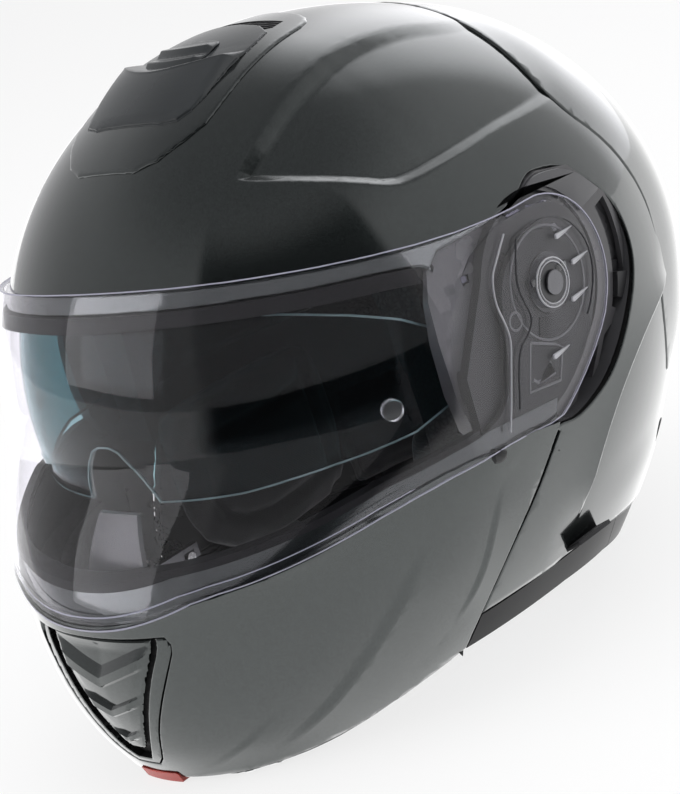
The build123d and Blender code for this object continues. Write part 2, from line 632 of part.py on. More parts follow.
def release_button():
    block = Pos(0, 0, FIT_GAP) * button_block(0, 0)
    block = fillet(block.edges().filter_by(Axis.Y), SEAM)
    return block & helmet_form(0.0, 1.0, -OVERRUN_LOW)


def visor_hubs():
    """The hubs on the arms that the visor turns on."""
    flange = side_block(side_disc(PIVOT_Y, PIVOT_Z, HUB_FLANGE), ARM_OUT, ARM_OUT + HUB_FLANGE_WALL)
    hub = side_block(side_disc(PIVOT_Y, PIVOT_Z, HUB_RADIUS), ARM_OUT + HUB_FLANGE_WALL, HUB_OUT)
    bore = side_block(side_disc(PIVOT_Y, PIVOT_Z, SCREW_RADIUS + RUN_GAP), ARM_OUT, HUB_OUT)
    return both(flange + hub - bore)


# Clear visor, its hub rings and the two inner-lens pins
VISOR_RING = 10.0
VISOR_RING_STAND = 0.6


def visor_face():
    band = side_face(VISOR_TOP_SHARES + VISOR_REAR_SHARES + VISOR_LOW_SHARES)
    return band + side_disc(PIVOT_Y, PIVOT_Z, VISOR_DISC)


def pin_plane():
    return skin_plane(PIN_Y_SHARE * LENGTH, PIN_Z_SHARE * HEIGHT, -VISOR_STAND - VISOR_WALL)


def visor():
    outside = helmet_form(-VISOR_STAND - VISOR_WALL) & Box(2 * VISOR_OUT, 3 * LENGTH, 3 * HEIGHT)
    inside = helmet_form(-VISOR_STAND) & Box(2 * VISOR_IN, 3 * LENGTH, 3 * HEIGHT)
    shield = (outside & across(visor_face())) - inside
    ring = side_block(side_disc(PIVOT_Y, PIVOT_Z, VISOR_RING), VISOR_IN, VISOR_OUT + VISOR_RING_STAND)
    bore = side_block(side_disc(PIVOT_Y, PIVOT_Z, HUB_RADIUS + FIT_GAP), VISOR_IN, WIDTH)
    hole = pin_plane() * Cylinder(PIN_RADIUS + FIT_GAP, 4 * VISOR_WALL)
    return shield + both(ring) - both(bore) - both(hole)


def lens_pins():
    """The two clear pins for an inner lens, clipped through the visor."""
    thick = VISOR_WALL + 2 * PIN_STAND
    pin = fillet(Cylinder(PIN_RADIUS, thick).edges(), PIN_STAND / 2)
    return both(pin_plane() * Pos(0, 0, PIN_STAND - thick / 2) * pin)


# Sun visor on two pins inside the shell
SUN_INSET = 5.4
SUN_WALL = 2.0
SUN_SIDE = 1.7
SUN_DISC = 9.0
SUN_PIN_RADIUS = 3.0
NOSE_SHARES = [(0.085, 0.38), (0.077, 0.425), (0.030, 0.503)]
SUN_SHARES = [(-FAR_SHARE, 0.714), (-0.391, 0.714), (-0.313, 0.680), (-0.209, 0.613), (-0.130, 0.549),
              (-0.020, 0.523), (-0.020, 0.455), (-0.130, 0.447), (-0.165, 0.442), (-0.246, 0.432),
              (-0.310, 0.427), (-0.371, 0.414), (-FAR_SHARE, 0.406)]
LATITUDES_LOW = [-28, -14]


@lru_cache(maxsize=None)
def globe_form(inset):
    """The dome carried on below the equator, so that it turns about its pins in its own shape."""
    return loft([section(*dome_size(a, inset)) for a in LATITUDES_LOW + [0] + LATITUDES])


def sun_visor():
    face = side_face(SUN_SHARES) + side_disc(SUN_PIVOT_Y, SUN_PIVOT_Z, SUN_DISC)
    out = RECESS_IN - SUN_SIDE
    outside = globe_form(SUN_INSET) & Box(2 * out, 3 * LENGTH, 3 * HEIGHT)
    inside = globe_form(SUN_INSET + SUN_WALL) & Box(2 * (out - SUN_WALL), 3 * LENGTH, 3 * HEIGHT)
    lens = (outside & across(face)) - inside
    bore = side_block(side_disc(SUN_PIVOT_Y, SUN_PIVOT_Z, SUN_PIN_RADIUS + RUN_GAP), 0, WIDTH)
    return lens - both(bore) - front_block(front_points(NOSE_SHARES))


def sun_visor_pins():
    pin = side_block(side_disc(SUN_PIVOT_Y, SUN_PIVOT_Z, SUN_PIN_RADIUS), HALF_WIDTH - POCKET_SIDE + FIT_GAP,
                     RECESS_IN - RUN_GAP)
    return both(pin)


# Latch: striker pins on the shell, hooks on the chin bar
STRIKER_Y_SHARE = -0.136
HOOK_Y_SHARE = -0.192
STRIKER_RADIUS = 2.5
STRIKER_FLANGE = 7.0
FLANGE_WALL = 1.6
STRIKER_REACH = 12.0
HOOK_WALL = 3.0
HOOK_RADIUS = 5.0
HOOK_LIP = 1.5
HOOK_PIN_RADIUS = 2.2
LATCH_ROOM = 0.7
STRIKER_Y = STRIKER_Y_SHARE * LENGTH
HOOK_Y = HOOK_Y_SHARE * LENGTH
LATCH_Z = SHELL_LOW_SHARES[1][1] * HEIGHT + STRIKER_FLANGE + LATCH_ROOM


def hook_near():
    """Distance of the hook's inner face from the middle plane."""
    return skin_half_width(STRIKER_Y, LATCH_Z, SHELL_WALL) - STRIKER_REACH


def stub(y, z, radius):
    """Pin along X from a flange that lies against the wall, at a place in the side view."""
    flange = side_block(side_disc(y, z, STRIKER_FLANGE), hook_near(), WIDTH)
    flange = (flange & helmet_form(SHELL_WALL + FIT_GAP)) - helmet_form(SHELL_WALL + FIT_GAP + FLANGE_WALL)
    shank = side_block(side_disc(y, z, radius), hook_near() - SEAM, WIDTH)
    return flange + (shank & helmet_form(SHELL_WALL + FLANGE_WALL))


def striker_pins():
    return both(stub(STRIKER_Y, LATCH_Z, STRIKER_RADIUS))


def hook_pins():
    return both(stub(HOOK_Y, LATCH_Z, HOOK_PIN_RADIUS))


def latch_hook():
    """Left hook: a bar from its pin to a lip that drops behind the striker."""
    grip = STRIKER_RADIUS + FIT_GAP
    heel, notch = HOOK_Y, STRIKER_Y - grip - SEAM
    lip, tip = STRIKER_Y + grip, STRIKER_Y + grip + HOOK_WALL
    low, high = LATCH_Z - HOOK_RADIUS, LATCH_Z + HOOK_RADIUS
    over, under = LATCH_Z + grip, LATCH_Z - HOOK_LIP
    body = Polyline((heel, low), (notch, low), (notch, over), (lip, over), (lip, under), (tip, under),
                    (tip, high), (heel, high), close=True)
    face = make_face(body) + side_disc(heel, LATCH_Z, HOOK_RADIUS)
    face -= side_disc(heel, LATCH_Z, HOOK_PIN_RADIUS + RUN_GAP)
    return side_block(face, hook_near(), hook_near() + HOOK_WALL)


# Chin strap: anchors on the shell, two lengths of webbing, ladder strip and buckle
STRAP_WIDTH = 22.0
STRAP_THICK = 2.0
STRAP_Y_SHARE = 0.020
STRAP_ROOM = 1.04
ANCHOR_Z_SHARE = 0.135
STRAP_SHARES = [(0.247, 0.058), (0.135, 0.036)]
STRAP_BEND = 30.0
STRAP_END = 22.0
ANCHOR_WALL = 1.5
ANCHOR_HEIGHT = 10.0
BUCKLE_START = -14.0
BUCKLE_END = 30.0
BUCKLE_WALL = 1.8
BUCKLE_RISE = 5.5
LADDER_START = -30.0
LADDER_THICK = 1.6
LADDER_WIDTH = 13.0
LADDER_PITCH = 2.6
LADDER_TEETH = 14
TOOTH_RISE = 0.5
LEVER_PIN_RADIUS = 1.4
LEVER_THICK = 3.4
LEVER_START = -18.0
STRAP_Y = STRAP_Y_SHARE * LENGTH
STRAP_Z = STRAP_SHARES[-1][1] * HEIGHT
LADDER_Z = STRAP_Z + STRAP_THICK / 2 + FIT_GAP / 2
LEVER_Z = LADDER_Z + LADDER_THICK + TOOTH_RISE + FIT_GAP
LEVER_PIN_X = BUCKLE_END - 2 * LEVER_PIN_RADIUS


def webbing(end):
    """Left half of the flat strap, from its anchor to an end on the level stretch."""
    anchor_z = ANCHOR_Z_SHARE * HEIGHT
    plate = SHELL_WALL + FIT_GAP + ANCHOR_WALL
    start = skin_half_width(STRAP_Y + STRAP_WIDTH / 2, anchor_z, plate) - STRAP_ROOM
    path = FilletPolyline((start, anchor_z), *front_points(STRAP_SHARES), (end, STRAP_Z), radius=STRAP_BEND)
    ribbon = extrude(Plane.XZ * trace(path, STRAP_THICK), STRAP_WIDTH / 2, both=True)
    return Pos(0, STRAP_Y, 0) * ribbon


def strap_block(start, end, width, low, high):
    """Block across the strap, between two places along it and two heights."""
    middle = Pos((start + end) / 2, STRAP_Y, (low + high) / 2)
    return middle * Box(end - start, width, high - low)


def strap_anchors():
    """Plates on the shell's inner face that hold the webbing's upper ends."""
    middle = ANCHOR_Z_SHARE * HEIGHT
    face = Pos(STRAP_Y, middle) * RectangleRounded(STRAP_WIDTH, ANCHOR_HEIGHT, FLANGE_WALL)
    inset = SHELL_WALL + FIT_GAP
    return both(side_block(face, 0, WIDTH) & helmet_form(inset)) - helmet_form(inset + ANCHOR_WALL)


def strap_ladder():
    """Toothed strip on the right strap's end."""
    end = LADDER_START + (LADDER_TEETH + 2) * LADDER_PITCH
    strip = strap_block(LADDER_START, end, LADDER_WIDTH, LADDER_Z, LADDER_Z + LADDER_THICK)
    for i in range(LADDER_TEETH):
        start = LADDER_START + (i + 1) * LADDER_PITCH
        top = LADDER_Z + LADDER_THICK + TOOTH_RISE
        strip += strap_block(start, start + LADDER_PITCH / 2, LADDER_WIDTH, LADDER_Z, top)
    return strip


def lever_pin(radius, length):
    place = Pos(LEVER_PIN_X, STRAP_Y, LEVER_Z + LEVER_THICK / 2) * Rot(90, 0, 0)
    return place * Cylinder(radius, length)


def buckle_body():
    """Channel that the straps meet in, with the pin of its lever."""
    width = STRAP_WIDTH + 2 * BUCKLE_WALL + 2 * SEAM
    floor = STRAP_Z - STRAP_THICK / 2 - FIT_GAP
    block = strap_block(BUCKLE_START, BUCKLE_END, width, floor - BUCKLE_WALL, STRAP_Z + BUCKLE_RISE)
    block = fillet(block.edges().filter_by(Axis.Z), BUCKLE_WALL)
    room = strap_block(BUCKLE_START - SEAM, BUCKLE_END + SEAM, STRAP_WIDTH + 2 * SEAM, floor, HEIGHT)
    return block - room + lever_pin(LEVER_PIN_RADIUS, width - BUCKLE_WALL)


def buckle_lever():
    lever = strap_block(LEVER_START, BUCKLE_END - SEAM, STRAP_WIDTH, LEVER_Z, LEVER_Z + LEVER_THICK)
    lever = fillet(lever.edges().filter_by(Axis.Z), 2 * BUCKLE_WALL)
    return lever - lever_pin(LEVER_PIN_RADIUS + RUN_GAP, 2 * STRAP_WIDTH)


NODES = {
    "outer_shell": outer_shell,
    "rear_cover": rear_cover,
    "rear_plugs": rear_plugs,
    "side_trim_left": side_trim,
    "side_trim_right": lambda: mirrored(side_trim()),
    "rear_trim": rear_trim,
    "foam_liner": foam_liner,
    "crown_liner": crown_liner,
    "cheek_pad_left": cheek_pad,
    "cheek_pad_right": lambda: mirrored(cheek_pad()),
    "neck_roll": neck_roll,
    "pivot_base_left": pivot_base,
    "pivot_base_right": lambda: mirrored(pivot_base()),
    "base_screws": base_screws,
    "pivot_screws": pivot_screws,
    "side_cover_left": lambda: side_cover(True),
    "side_cover_right": lambda: mirrored(side_cover(False)),
    "sun_visor_slider": sun_visor_slider,
    "brow_gasket": brow_gasket,
    "top_vent_base": top_vent_base,
    "top_vent_scoop": top_vent_scoop,
    "top_vent_shutter": top_vent_shutter,
    "striker_pins": striker_pins,
    "strap_anchors": strap_anchors,
    "strap_left": lambda: webbing(STRAP_END),
    "strap_right": lambda: mirrored(webbing(-BUCKLE_START + SEAM)),
    "strap_ladder": strap_ladder,
    "buckle_body": buckle_body,
    "buckle_lever": buckle_lever,
    "chin_bar": chin_bar,
    "chin_foam": chin_foam,
    "chin_gasket": chin_gasket,
    "breath_deflector": breath_deflector,
    "chin_vent_frame": chin_vent_frame,
    "chin_vent_flap": chin_vent_flap,
    "release_button": release_button,
    "hook_pins": hook_pins,
    "latch_hook_left": latch_hook,
    "latch_hook_right": lambda: mirrored(latch_hook()),
    "visor_hubs": visor_hubs,
    "visor": visor,
    "lens_pins": lens_pins,
    "sun_visor": sun_visor,
    "sun_visor_pins": sun_visor_pins,
}

for node, make in NODES.items():
    export_step(make(), f"parts/{node}.step")
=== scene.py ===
import math

import bmesh
import bpy
import numpy as np
from mathutils import Matrix, Vector


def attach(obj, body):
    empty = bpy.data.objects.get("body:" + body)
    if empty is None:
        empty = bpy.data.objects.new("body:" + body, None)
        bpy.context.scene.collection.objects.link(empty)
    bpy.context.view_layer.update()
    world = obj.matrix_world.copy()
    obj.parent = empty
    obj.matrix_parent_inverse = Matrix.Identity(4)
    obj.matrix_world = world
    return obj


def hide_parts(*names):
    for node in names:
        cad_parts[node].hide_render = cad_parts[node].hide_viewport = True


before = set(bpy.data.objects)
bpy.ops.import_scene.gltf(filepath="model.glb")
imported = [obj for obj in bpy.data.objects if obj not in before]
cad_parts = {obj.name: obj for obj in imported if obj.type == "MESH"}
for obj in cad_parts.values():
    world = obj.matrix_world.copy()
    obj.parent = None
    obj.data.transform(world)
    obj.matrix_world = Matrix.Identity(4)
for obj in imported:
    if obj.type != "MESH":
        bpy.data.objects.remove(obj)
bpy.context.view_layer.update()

# Camera: stands where the photograph was taken, a little above the helmet, with the frame tilted
# sideways. The picture is taken to be 680 by 794 pixels, and the aim point lies above its middle.
PICTURE = (680, 794)
CAMERA_TURN = math.radians(47.03)
CAMERA_RISE = math.radians(14.72)
CAMERA_ROLL = math.radians(-16.36)
CAMERA_DISTANCE = 0.962
AIM = Vector((0, 0, 0.135))
AIM_PIXEL = (332.7, 316.4)
FOCAL_PIXELS = 2245.1
SENSOR = 36.0

back = Vector((math.sin(CAMERA_TURN) * math.cos(CAMERA_RISE), -math.cos(CAMERA_TURN) * math.cos(CAMERA_RISE),
               math.sin(CAMERA_RISE)))
level = Vector((math.cos(CAMERA_TURN), math.sin(CAMERA_TURN), 0))
rise = back.cross(level)
across = math.cos(CAMERA_ROLL) * level + math.sin(CAMERA_ROLL) * rise
upward = math.cos(CAMERA_ROLL) * rise - math.sin(CAMERA_ROLL) * level
lens = bpy.data.cameras.new("camera")
lens.sensor_fit = "HORIZONTAL"
lens.sensor_width = SENSOR
lens.lens = SENSOR * FOCAL_PIXELS / PICTURE[0]
lens.shift_x = (PICTURE[0] / 2 - AIM_PIXEL[0]) / PICTURE[0]
lens.shift_y = (AIM_PIXEL[1] - PICTURE[1] / 2) / PICTURE[0]
camera = bpy.data.objects.new("camera", lens)
camera.matrix_world = Matrix((across, upward, back)).transposed().to_4x4()
camera.location = AIM + back * CAMERA_DISTANCE
bpy.context.collection.objects.link(camera)
bpy.context.scene.camera = camera


# Studio: a white floor in a pale tent, dark towards the camera and brighter than white behind the
# helmet, with three soft boxes that don't show in the gloss. The dark side's border draws the
# upright line on the lacquer, and the floor is brighter in reflections than to the camera.
class Wire:
    """A shader socket that takes part in sums."""

    def __init__(self, tree, socket=None):
        self.tree = tree
        self.socket = socket

    def node(self, kind, settings=None, inputs=None, output=0):
        """A new node with its settings and its inputs, as the socket of one of its outputs."""
        made = self.tree.nodes.new(kind)
        for name, value in (settings or {}).items():
            if name == "stops":
                ramp = made.color_ramp.elements
                while len(ramp) < len(value):
                    ramp.new(0.5)
                for stop, (place, colour) in zip(ramp, value):
                    stop.position, stop.color = place, (*colour, 1)
            else:
                setattr(made, name, value)
        self.feed(made, inputs or {})
        return Wire(self.tree, made.outputs[output])

    def feed(self, node, inputs):
        """Links or sets inputs of a node in the same tree."""
        for name, value in inputs.items():
            if isinstance(value, Wire):
                self.tree.links.new(value.socket, node.inputs[name])
            else:
                node.inputs[name].default_value = value

    def sum(self, operation, first, second=0.0):
        return self.node("ShaderNodeMath", {"operation": operation}, {0: first, 1: second})

    def __add__(self, other):
        return self.sum("ADD", self, other)

    def __radd__(self, other):
        return self.sum("ADD", other, self)

    def __sub__(self, other):
        return self.sum("SUBTRACT", self, other)

    def __rsub__(self, other):
        return self.sum("SUBTRACT", other, self)

    def __mul__(self, other):
        return self.sum("MULTIPLY", self, other)

    def __rmul__(self, other):
        return self.sum("MULTIPLY", other, self)

    def __gt__(self, other):
        return self.sum("GREATER_THAN", self, other)

    def part(self, index):
        """One part of a vector socket."""
        return self.node("ShaderNodeSeparateXYZ", inputs={0: self}, output=index)

    def band(self, low, high):
        """0 below low, 1 above high, and a soft rise between."""
        values = {"Value": self, "From Min": low, "From Max": high}
        return self.node("ShaderNodeMapRange", {"interpolation_type": "SMOOTHSTEP"}, values)

    def blend(self, first, second):
        """The mix of two colours that this socket sets."""
        mix = {"data_type": "RGBA"}
        return self.node("ShaderNodeMix", mix, {0: self, 6: first, 7: second}, output=2)

    def noise(self, scale, detail):
        """Soft noise over this place."""
        return self.node("ShaderNodeTexNoise", None, {"Vector": self, "Scale": scale, "Detail": detail})

    def wave(self):
        """The sine of this socket."""
        return self.sum("SINE", self)

    def relief(self, strength, distance):
        """The bump that this height makes."""
        return self.node("ShaderNodeBump", None, {"Height": self, "Strength": strength, "Distance": distance})


WORLD_PALE = (0.80, 0.80, 0.81, 1)
WORLD_OVERHEAD = (0.30, 0.30, 0.31, 1)
OVERHEAD_RISE = (0.55, 0.95)
WORLD_DARK = (0.035, 0.036, 0.039, 1)
DARK_TURN, DARK_HALF, DARK_SOFT = -42, 46, 3
DARK_TOP = (0.66, 0.90)
WORLD_LEFT = (0.58, 0.58, 0.59, 1)
LEFT_TURN, LEFT_SPREAD = -150, (74, 50)
WORLD_REAR = (2.1, 2.1, 2.15, 1)
REAR_TURN, REAR_SPREAD = 106, (27, 8)


def facing(level_turn, turn, wide, narrow):
    """1 within a narrow angle of a level direction, 0 beyond a wide one, in degrees."""
    turn = math.radians(turn)
    along = level_turn.part(0) * math.cos(turn) + level_turn.part(1) * math.sin(turn)
    return along.band(math.cos(math.radians(wide)), math.cos(math.radians(narrow)))


world = bpy.data.worlds.new("studio")
world.use_nodes = True
bpy.context.scene.world = world
tree = world.node_tree
tree.nodes.clear()
sky = Wire(tree)
look = sky.node("ShaderNodeTexCoord", output=0)
level_look = sky.node("ShaderNodeCombineXYZ", inputs={"X": look.part(0), "Y": look.part(1)})
level_look = sky.node("ShaderNodeVectorMath", {"operation": "NORMALIZE"}, {0: level_look})
sector = facing(level_look, DARK_TURN, DARK_HALF + DARK_SOFT, DARK_HALF - DARK_SOFT)
flag = sector * (1 - look.part(2).band(*DARK_TOP))
overhead = look.part(2).band(*OVERHEAD_RISE)
left_side = facing(level_look, LEFT_TURN, *LEFT_SPREAD)
rear_side = facing(level_look, REAR_TURN, *REAR_SPREAD)
tent = rear_side.blend(left_side.blend(WORLD_PALE, WORLD_LEFT), WORLD_REAR)
colour = flag.blend(overhead.blend(tent, WORLD_OVERHEAD), WORLD_DARK)
light_path = tree.nodes.new("ShaderNodeLightPath")
seen = Wire(tree, light_path.outputs["Is Camera Ray"]) + Wire(tree, light_path.outputs["Is Transmission Ray"])
colour = (seen > 0.5).blend(colour, (1, 1, 1, 1))
glow = sky.node("ShaderNodeBackground", inputs={"Color": colour, "Strength": 1.0})
tree.links.new(glow.socket, tree.nodes.new("ShaderNodeOutputWorld").inputs["Surface"])

FLOOR_SIZE = 6.0
FLOOR_SHOWN = 0.8
FLOOR_EXTRA = 0.35
FLOOR_SOFT = 6
FLOOR_DARK_REACH = (0.46, 0.68)
floor_shape = bmesh.new()
bmesh.ops.create_grid(floor_shape, x_segments=1, y_segments=1, size=FLOOR_SIZE)
floor_mesh = bpy.data.meshes.new("floor")
floor_shape.to_mesh(floor_mesh)
floor_shape.free()
floor = bpy.data.objects.new("floor", floor_mesh)
bpy.context.collection.objects.link(floor)
floor_paint = bpy.data.materials.new("floor")
floor_paint.use_nodes = True
floor_tree = floor_paint.node_tree
floor_shader = floor_tree.nodes["Principled BSDF"]
floor_shader.inputs["Base Color"].default_value = (0.93, 0.93, 0.93, 1)
floor_shader.inputs["Roughness"].default_value = 0.7
floor_path = floor_tree.nodes.new("ShaderNodeLightPath")
floor_glossy = Wire(floor_tree, floor_path.outputs["Is Glossy Ray"])
floor_seen = Wire(floor_tree, floor_path.outputs["Is Camera Ray"]) * FLOOR_SHOWN + floor_glossy
floor_seen = floor_seen + Wire(floor_tree, floor_path.outputs["Is Transmission Ray"])
floor_place = floor_seen.node("ShaderNodeTexCoord", output=3)
floor_across = {"X": floor_place.part(0), "Y": floor_place.part(1)}
floor_level = floor_seen.node("ShaderNodeCombineXYZ", None, floor_across)
floor_turn = floor_seen.node("ShaderNodeVectorMath", {"operation": "NORMALIZE"}, {0: floor_level})
floor_reach = floor_level.node("ShaderNodeVectorMath", {"operation": "LENGTH"}, {0: floor_level}, output=1)
floor_dark = facing(floor_turn, DARK_TURN, DARK_HALF + FLOOR_SOFT, DARK_HALF - FLOOR_SOFT)
floor_dark = floor_dark * floor_reach.band(*FLOOR_DARK_REACH) * floor_glossy
floor_colour = floor_dark.blend((1, 1, 1, 1), WORLD_DARK)
floor_strength = floor_glossy * FLOOR_EXTRA + 1.0
floor_glow = floor_seen.node("ShaderNodeEmission", inputs={"Color": floor_colour, "Strength": floor_strength})
floor_mix = floor_tree.nodes.new("ShaderNodeMixShader")
floor_tree.links.new(floor_seen.socket, floor_mix.inputs[0])
floor_tree.links.new(floor_shader.outputs[0], floor_mix.inputs[1])
floor_tree.links.new(floor_glow.socket, floor_mix.inputs[2])
floor_tree.links.new(floor_mix.outputs[0], floor_tree.nodes["Material Output"].inputs["Surface"])
floor_mesh.materials.append(floor_paint)

SOFT_BOXES = {
    "front_box": ((-1.3, -1.9, 1.0), (1.6, 1.6), 26.0),
    "top_box": ((0.2, 0.1, 2.2), (1.8, 1.8), 24.0),
    "side_box": ((2.0, 0.9, 0.9), (1.4, 1.4), 14.0),
}
for name, (place, (wide, high), power) in SOFT_BOXES.items():
    lamp = bpy.data.lights.new(name, "AREA")
    lamp.shape = "RECTANGLE"
    lamp.size, lamp.size_y, lamp.energy = wide, high, power
    box = bpy.data.objects.new(name, lamp)
    box.location = place
    box.rotation_mode = "QUATERNION"
    box.rotation_quaternion = (Vector(place) - AIM).to_track_quat("Z", "Y")
    box.visible_glossy = False
    bpy.context.collection.objects.link(box)
bpy.context.scene.view_settings.view_transform = "Standard"


# Outer shell: one moulded piece in dark grey metallic lacquer. It is shaped from a ball to the
# helmet's form, its edges are scored along their outlines and rolled over, and pressed creases
# run from the crown and the ears to the back.
LENGTH, WIDTH, HEIGHT = 0.345, 0.251, 0.266
EQUATOR = 0.489 * HEIGHT
MIDDLE = -0.020 * LENGTH
BROW_REACH = 0.4104 * LENGTH
REAR_REACH = 0.5003 * LENGTH
SIDE_TUCK, REAR_TUCK = 0.371, 0.189
SIDE_POWER, REAR_POWER = 2.05, 1.6
SQUARENESS = 2.19
CHIN_KNOTS = [(0, -0.455), (0.154, -0.484), (0.346, -0.4986), (0.577, -0.490), (0.808, -0.455),
              (1, -0.4104)]
OVERRUN = 0.005
SHELL_WALL = 0.0032
EDGE_ROLL = 0.0009
SIDE, PLAN, FRONT = (1, 2), (0, 1), (0, 2)


def chin_reach(height):
    """Foremost point of the form at a height below its widest level, on a smooth curve."""
    knots = [(h * EQUATOR, y * LENGTH) for h, y in CHIN_KNOTS]
    slopes = [(b[1] - a[1]) / (b[0] - a[0]) for a, b in zip(knots, knots[1:])]
    turns = [slopes[0]] + [(a + b) / 2 for a, b in zip(slopes, slopes[1:])] + [slopes[-1]]
    height = min(max(height, 0), EQUATOR)
    i = next(i for i in range(len(slopes)) if height <= knots[i + 1][0] + 1e-9)
    (low, start), (high, end) = knots[i], knots[i + 1]
    span = high - low
    t = (height - low) / span
    return ((2 * t**3 - 3 * t**2 + 1) * start + (t**3 - 2 * t**2 + t) * span * turns[i]
            + (3 * t**2 - 2 * t**3) * end + (t**3 - t**2) * span * turns[i + 1])


def form_level(height, inset, tuck=1.0):
    """Half width, front and rear of the form's level section at a height, moved in by inset."""
    if height >= EQUATOR:
        rise = min((height - EQUATOR) / (HEIGHT - EQUATOR - inset), 1)
        round_in = math.sqrt(1 - rise**2)
        return ((WIDTH / 2 - inset) * round_in, MIDDLE - (BROW_REACH + MIDDLE - inset) * round_in,
                MIDDLE + (REAR_REACH - MIDDLE - inset) * round_in)
    drop = (EQUATOR - max(height, 0)) / EQUATOR
    half = WIDTH / 2 * (1 - SIDE_TUCK * tuck * drop**SIDE_POWER) - inset
    return half, chin_reach(height) + inset, REAR_REACH - REAR_TUCK * LENGTH * tuck * drop**REAR_POWER - inset


def form_point(direction, inset, tuck=1.0):
    """The form's point for a direction on the unit ball."""
    direction = direction.normalized()
    if direction.z > 0:
        height = EQUATOR + (HEIGHT - EQUATOR - inset) * direction.z
    else:
        height = EQUATOR + (EQUATOR + OVERRUN) * math.asin(direction.z) / (math.pi / 2)
    half, front, rear = form_level(height, inset, tuck)
    flat = math.hypot(direction.x, direction.y)
    if flat < 1e-6:
        return Vector((0, MIDDLE, height))
    side, along = direction.x / flat, direction.y / flat
    side = math.copysign(abs(side) ** (2 / SQUARENESS), side)
    along = math.copysign(abs(along) ** (2 / SQUARENESS), along)
    reach = rear - MIDDLE if along > 0 else MIDDLE - front
    return Vector((half * side, MIDDLE + reach * along, height))


def side_reach(y, z, inset=0.0, tuck=1.0):
    """Distance from the middle plane to the form at a point of the side view."""
    half, front, rear = form_level(z, inset, tuck)
    reach = rear - MIDDLE if y > MIDDLE else MIDDLE - front
    return half * max(1 - (abs(y - MIDDLE) / reach) ** SQUARENESS, 0) ** (1 / SQUARENESS)


def form_ball(inset, columns=180, rows=108, tuck=1.0):
    """A ball of faces moved onto the form."""
    shape = bmesh.new()
    bmesh.ops.create_uvsphere(shape, u_segments=columns, v_segments=rows, radius=1)
    for vert in shape.verts:
        vert.co = form_point(vert.co, inset, tuck)
    bmesh.ops.remove_doubles(shape, verts=shape.verts, dist=1e-5)
    bmesh.ops.recalc_face_normals(shape, faces=shape.faces)
    return shape


def shares(points):
    """Side-view points from shares of the length and the height."""
    return [Vector((y * LENGTH, z * HEIGHT)) for y, z in points]


def softened(line, rounds=2, closed=False):
    """A line with its corners cut off, again and again, until it runs smoothly."""
    for _ in range(rounds):
        pairs = list(zip(line, line[1:] + line[:1] if closed else line[1:]))
        cut = [p for a, b in pairs for p in (a * 0.75 + b * 0.25, a * 0.25 + b * 0.75)]
        line = cut if closed else [line[0]] + cut[1:-1] + [line[-1]]
    return line


def moved(line, distance, closed=False):
    """A line moved to its left by a distance."""
    count, out = len(line), []
    for i, point in enumerate(line):
        before = line[i - 1] if closed or i else point
        after = line[(i + 1) % count] if closed or i < count - 1 else point
        run = (after - before).normalized()
        out.append(point + Vector((-run.y, run.x)) * distance)
    return out


def flat_of(place, view):
    return Vector((place[view[0]], place[view[1]]))


def flats_of(places, view):
    """Many places in a view, as an array."""
    return np.array([(place[view[0]], place[view[1]]) for place in places]).reshape(-1, 2)


def gaps_to(spots, line, closed=False):
    """Distances from points to a line, positive on its left."""
    points = np.array([tuple(p) for p in line])
    starts, ends = (points, np.roll(points, -1, 0)) if closed else (points[:-1], points[1:])
    best, signs = np.full(len(spots), 1e9), np.ones(len(spots))
    for start, end in zip(starts, ends):
        run = end - start
        length = np.hypot(*run)
        if length < 1e-9:
            continue
        run = run / length
        away = spots - start
        reach = np.clip(away @ run, 0, length)
        gap = away - reach[:, None] * run
        size = np.hypot(gap[:, 0], gap[:, 1])
        nearer = size < best - 1e-9
        best[nearer] = size[nearer]
        signs[nearer] = np.sign(run[0] * gap[nearer, 1] - run[1] * gap[nearer, 0])
    return best, np.where(signs < 0, -1, 1)


def within(spots, outline):
    """Which points lie inside a closed outline."""
    inside = np.zeros(len(spots), bool)
    for a, b in zip(outline, outline[1:] + outline[:1]):
        if a.y != b.y:
            level = (a.y > spots[:, 1]) != (b.y > spots[:, 1])
            inside ^= level & (spots[:, 0] < a.x + (spots[:, 1] - a.y) / (b.y - a.y) * (b.x - a.x))
    return inside


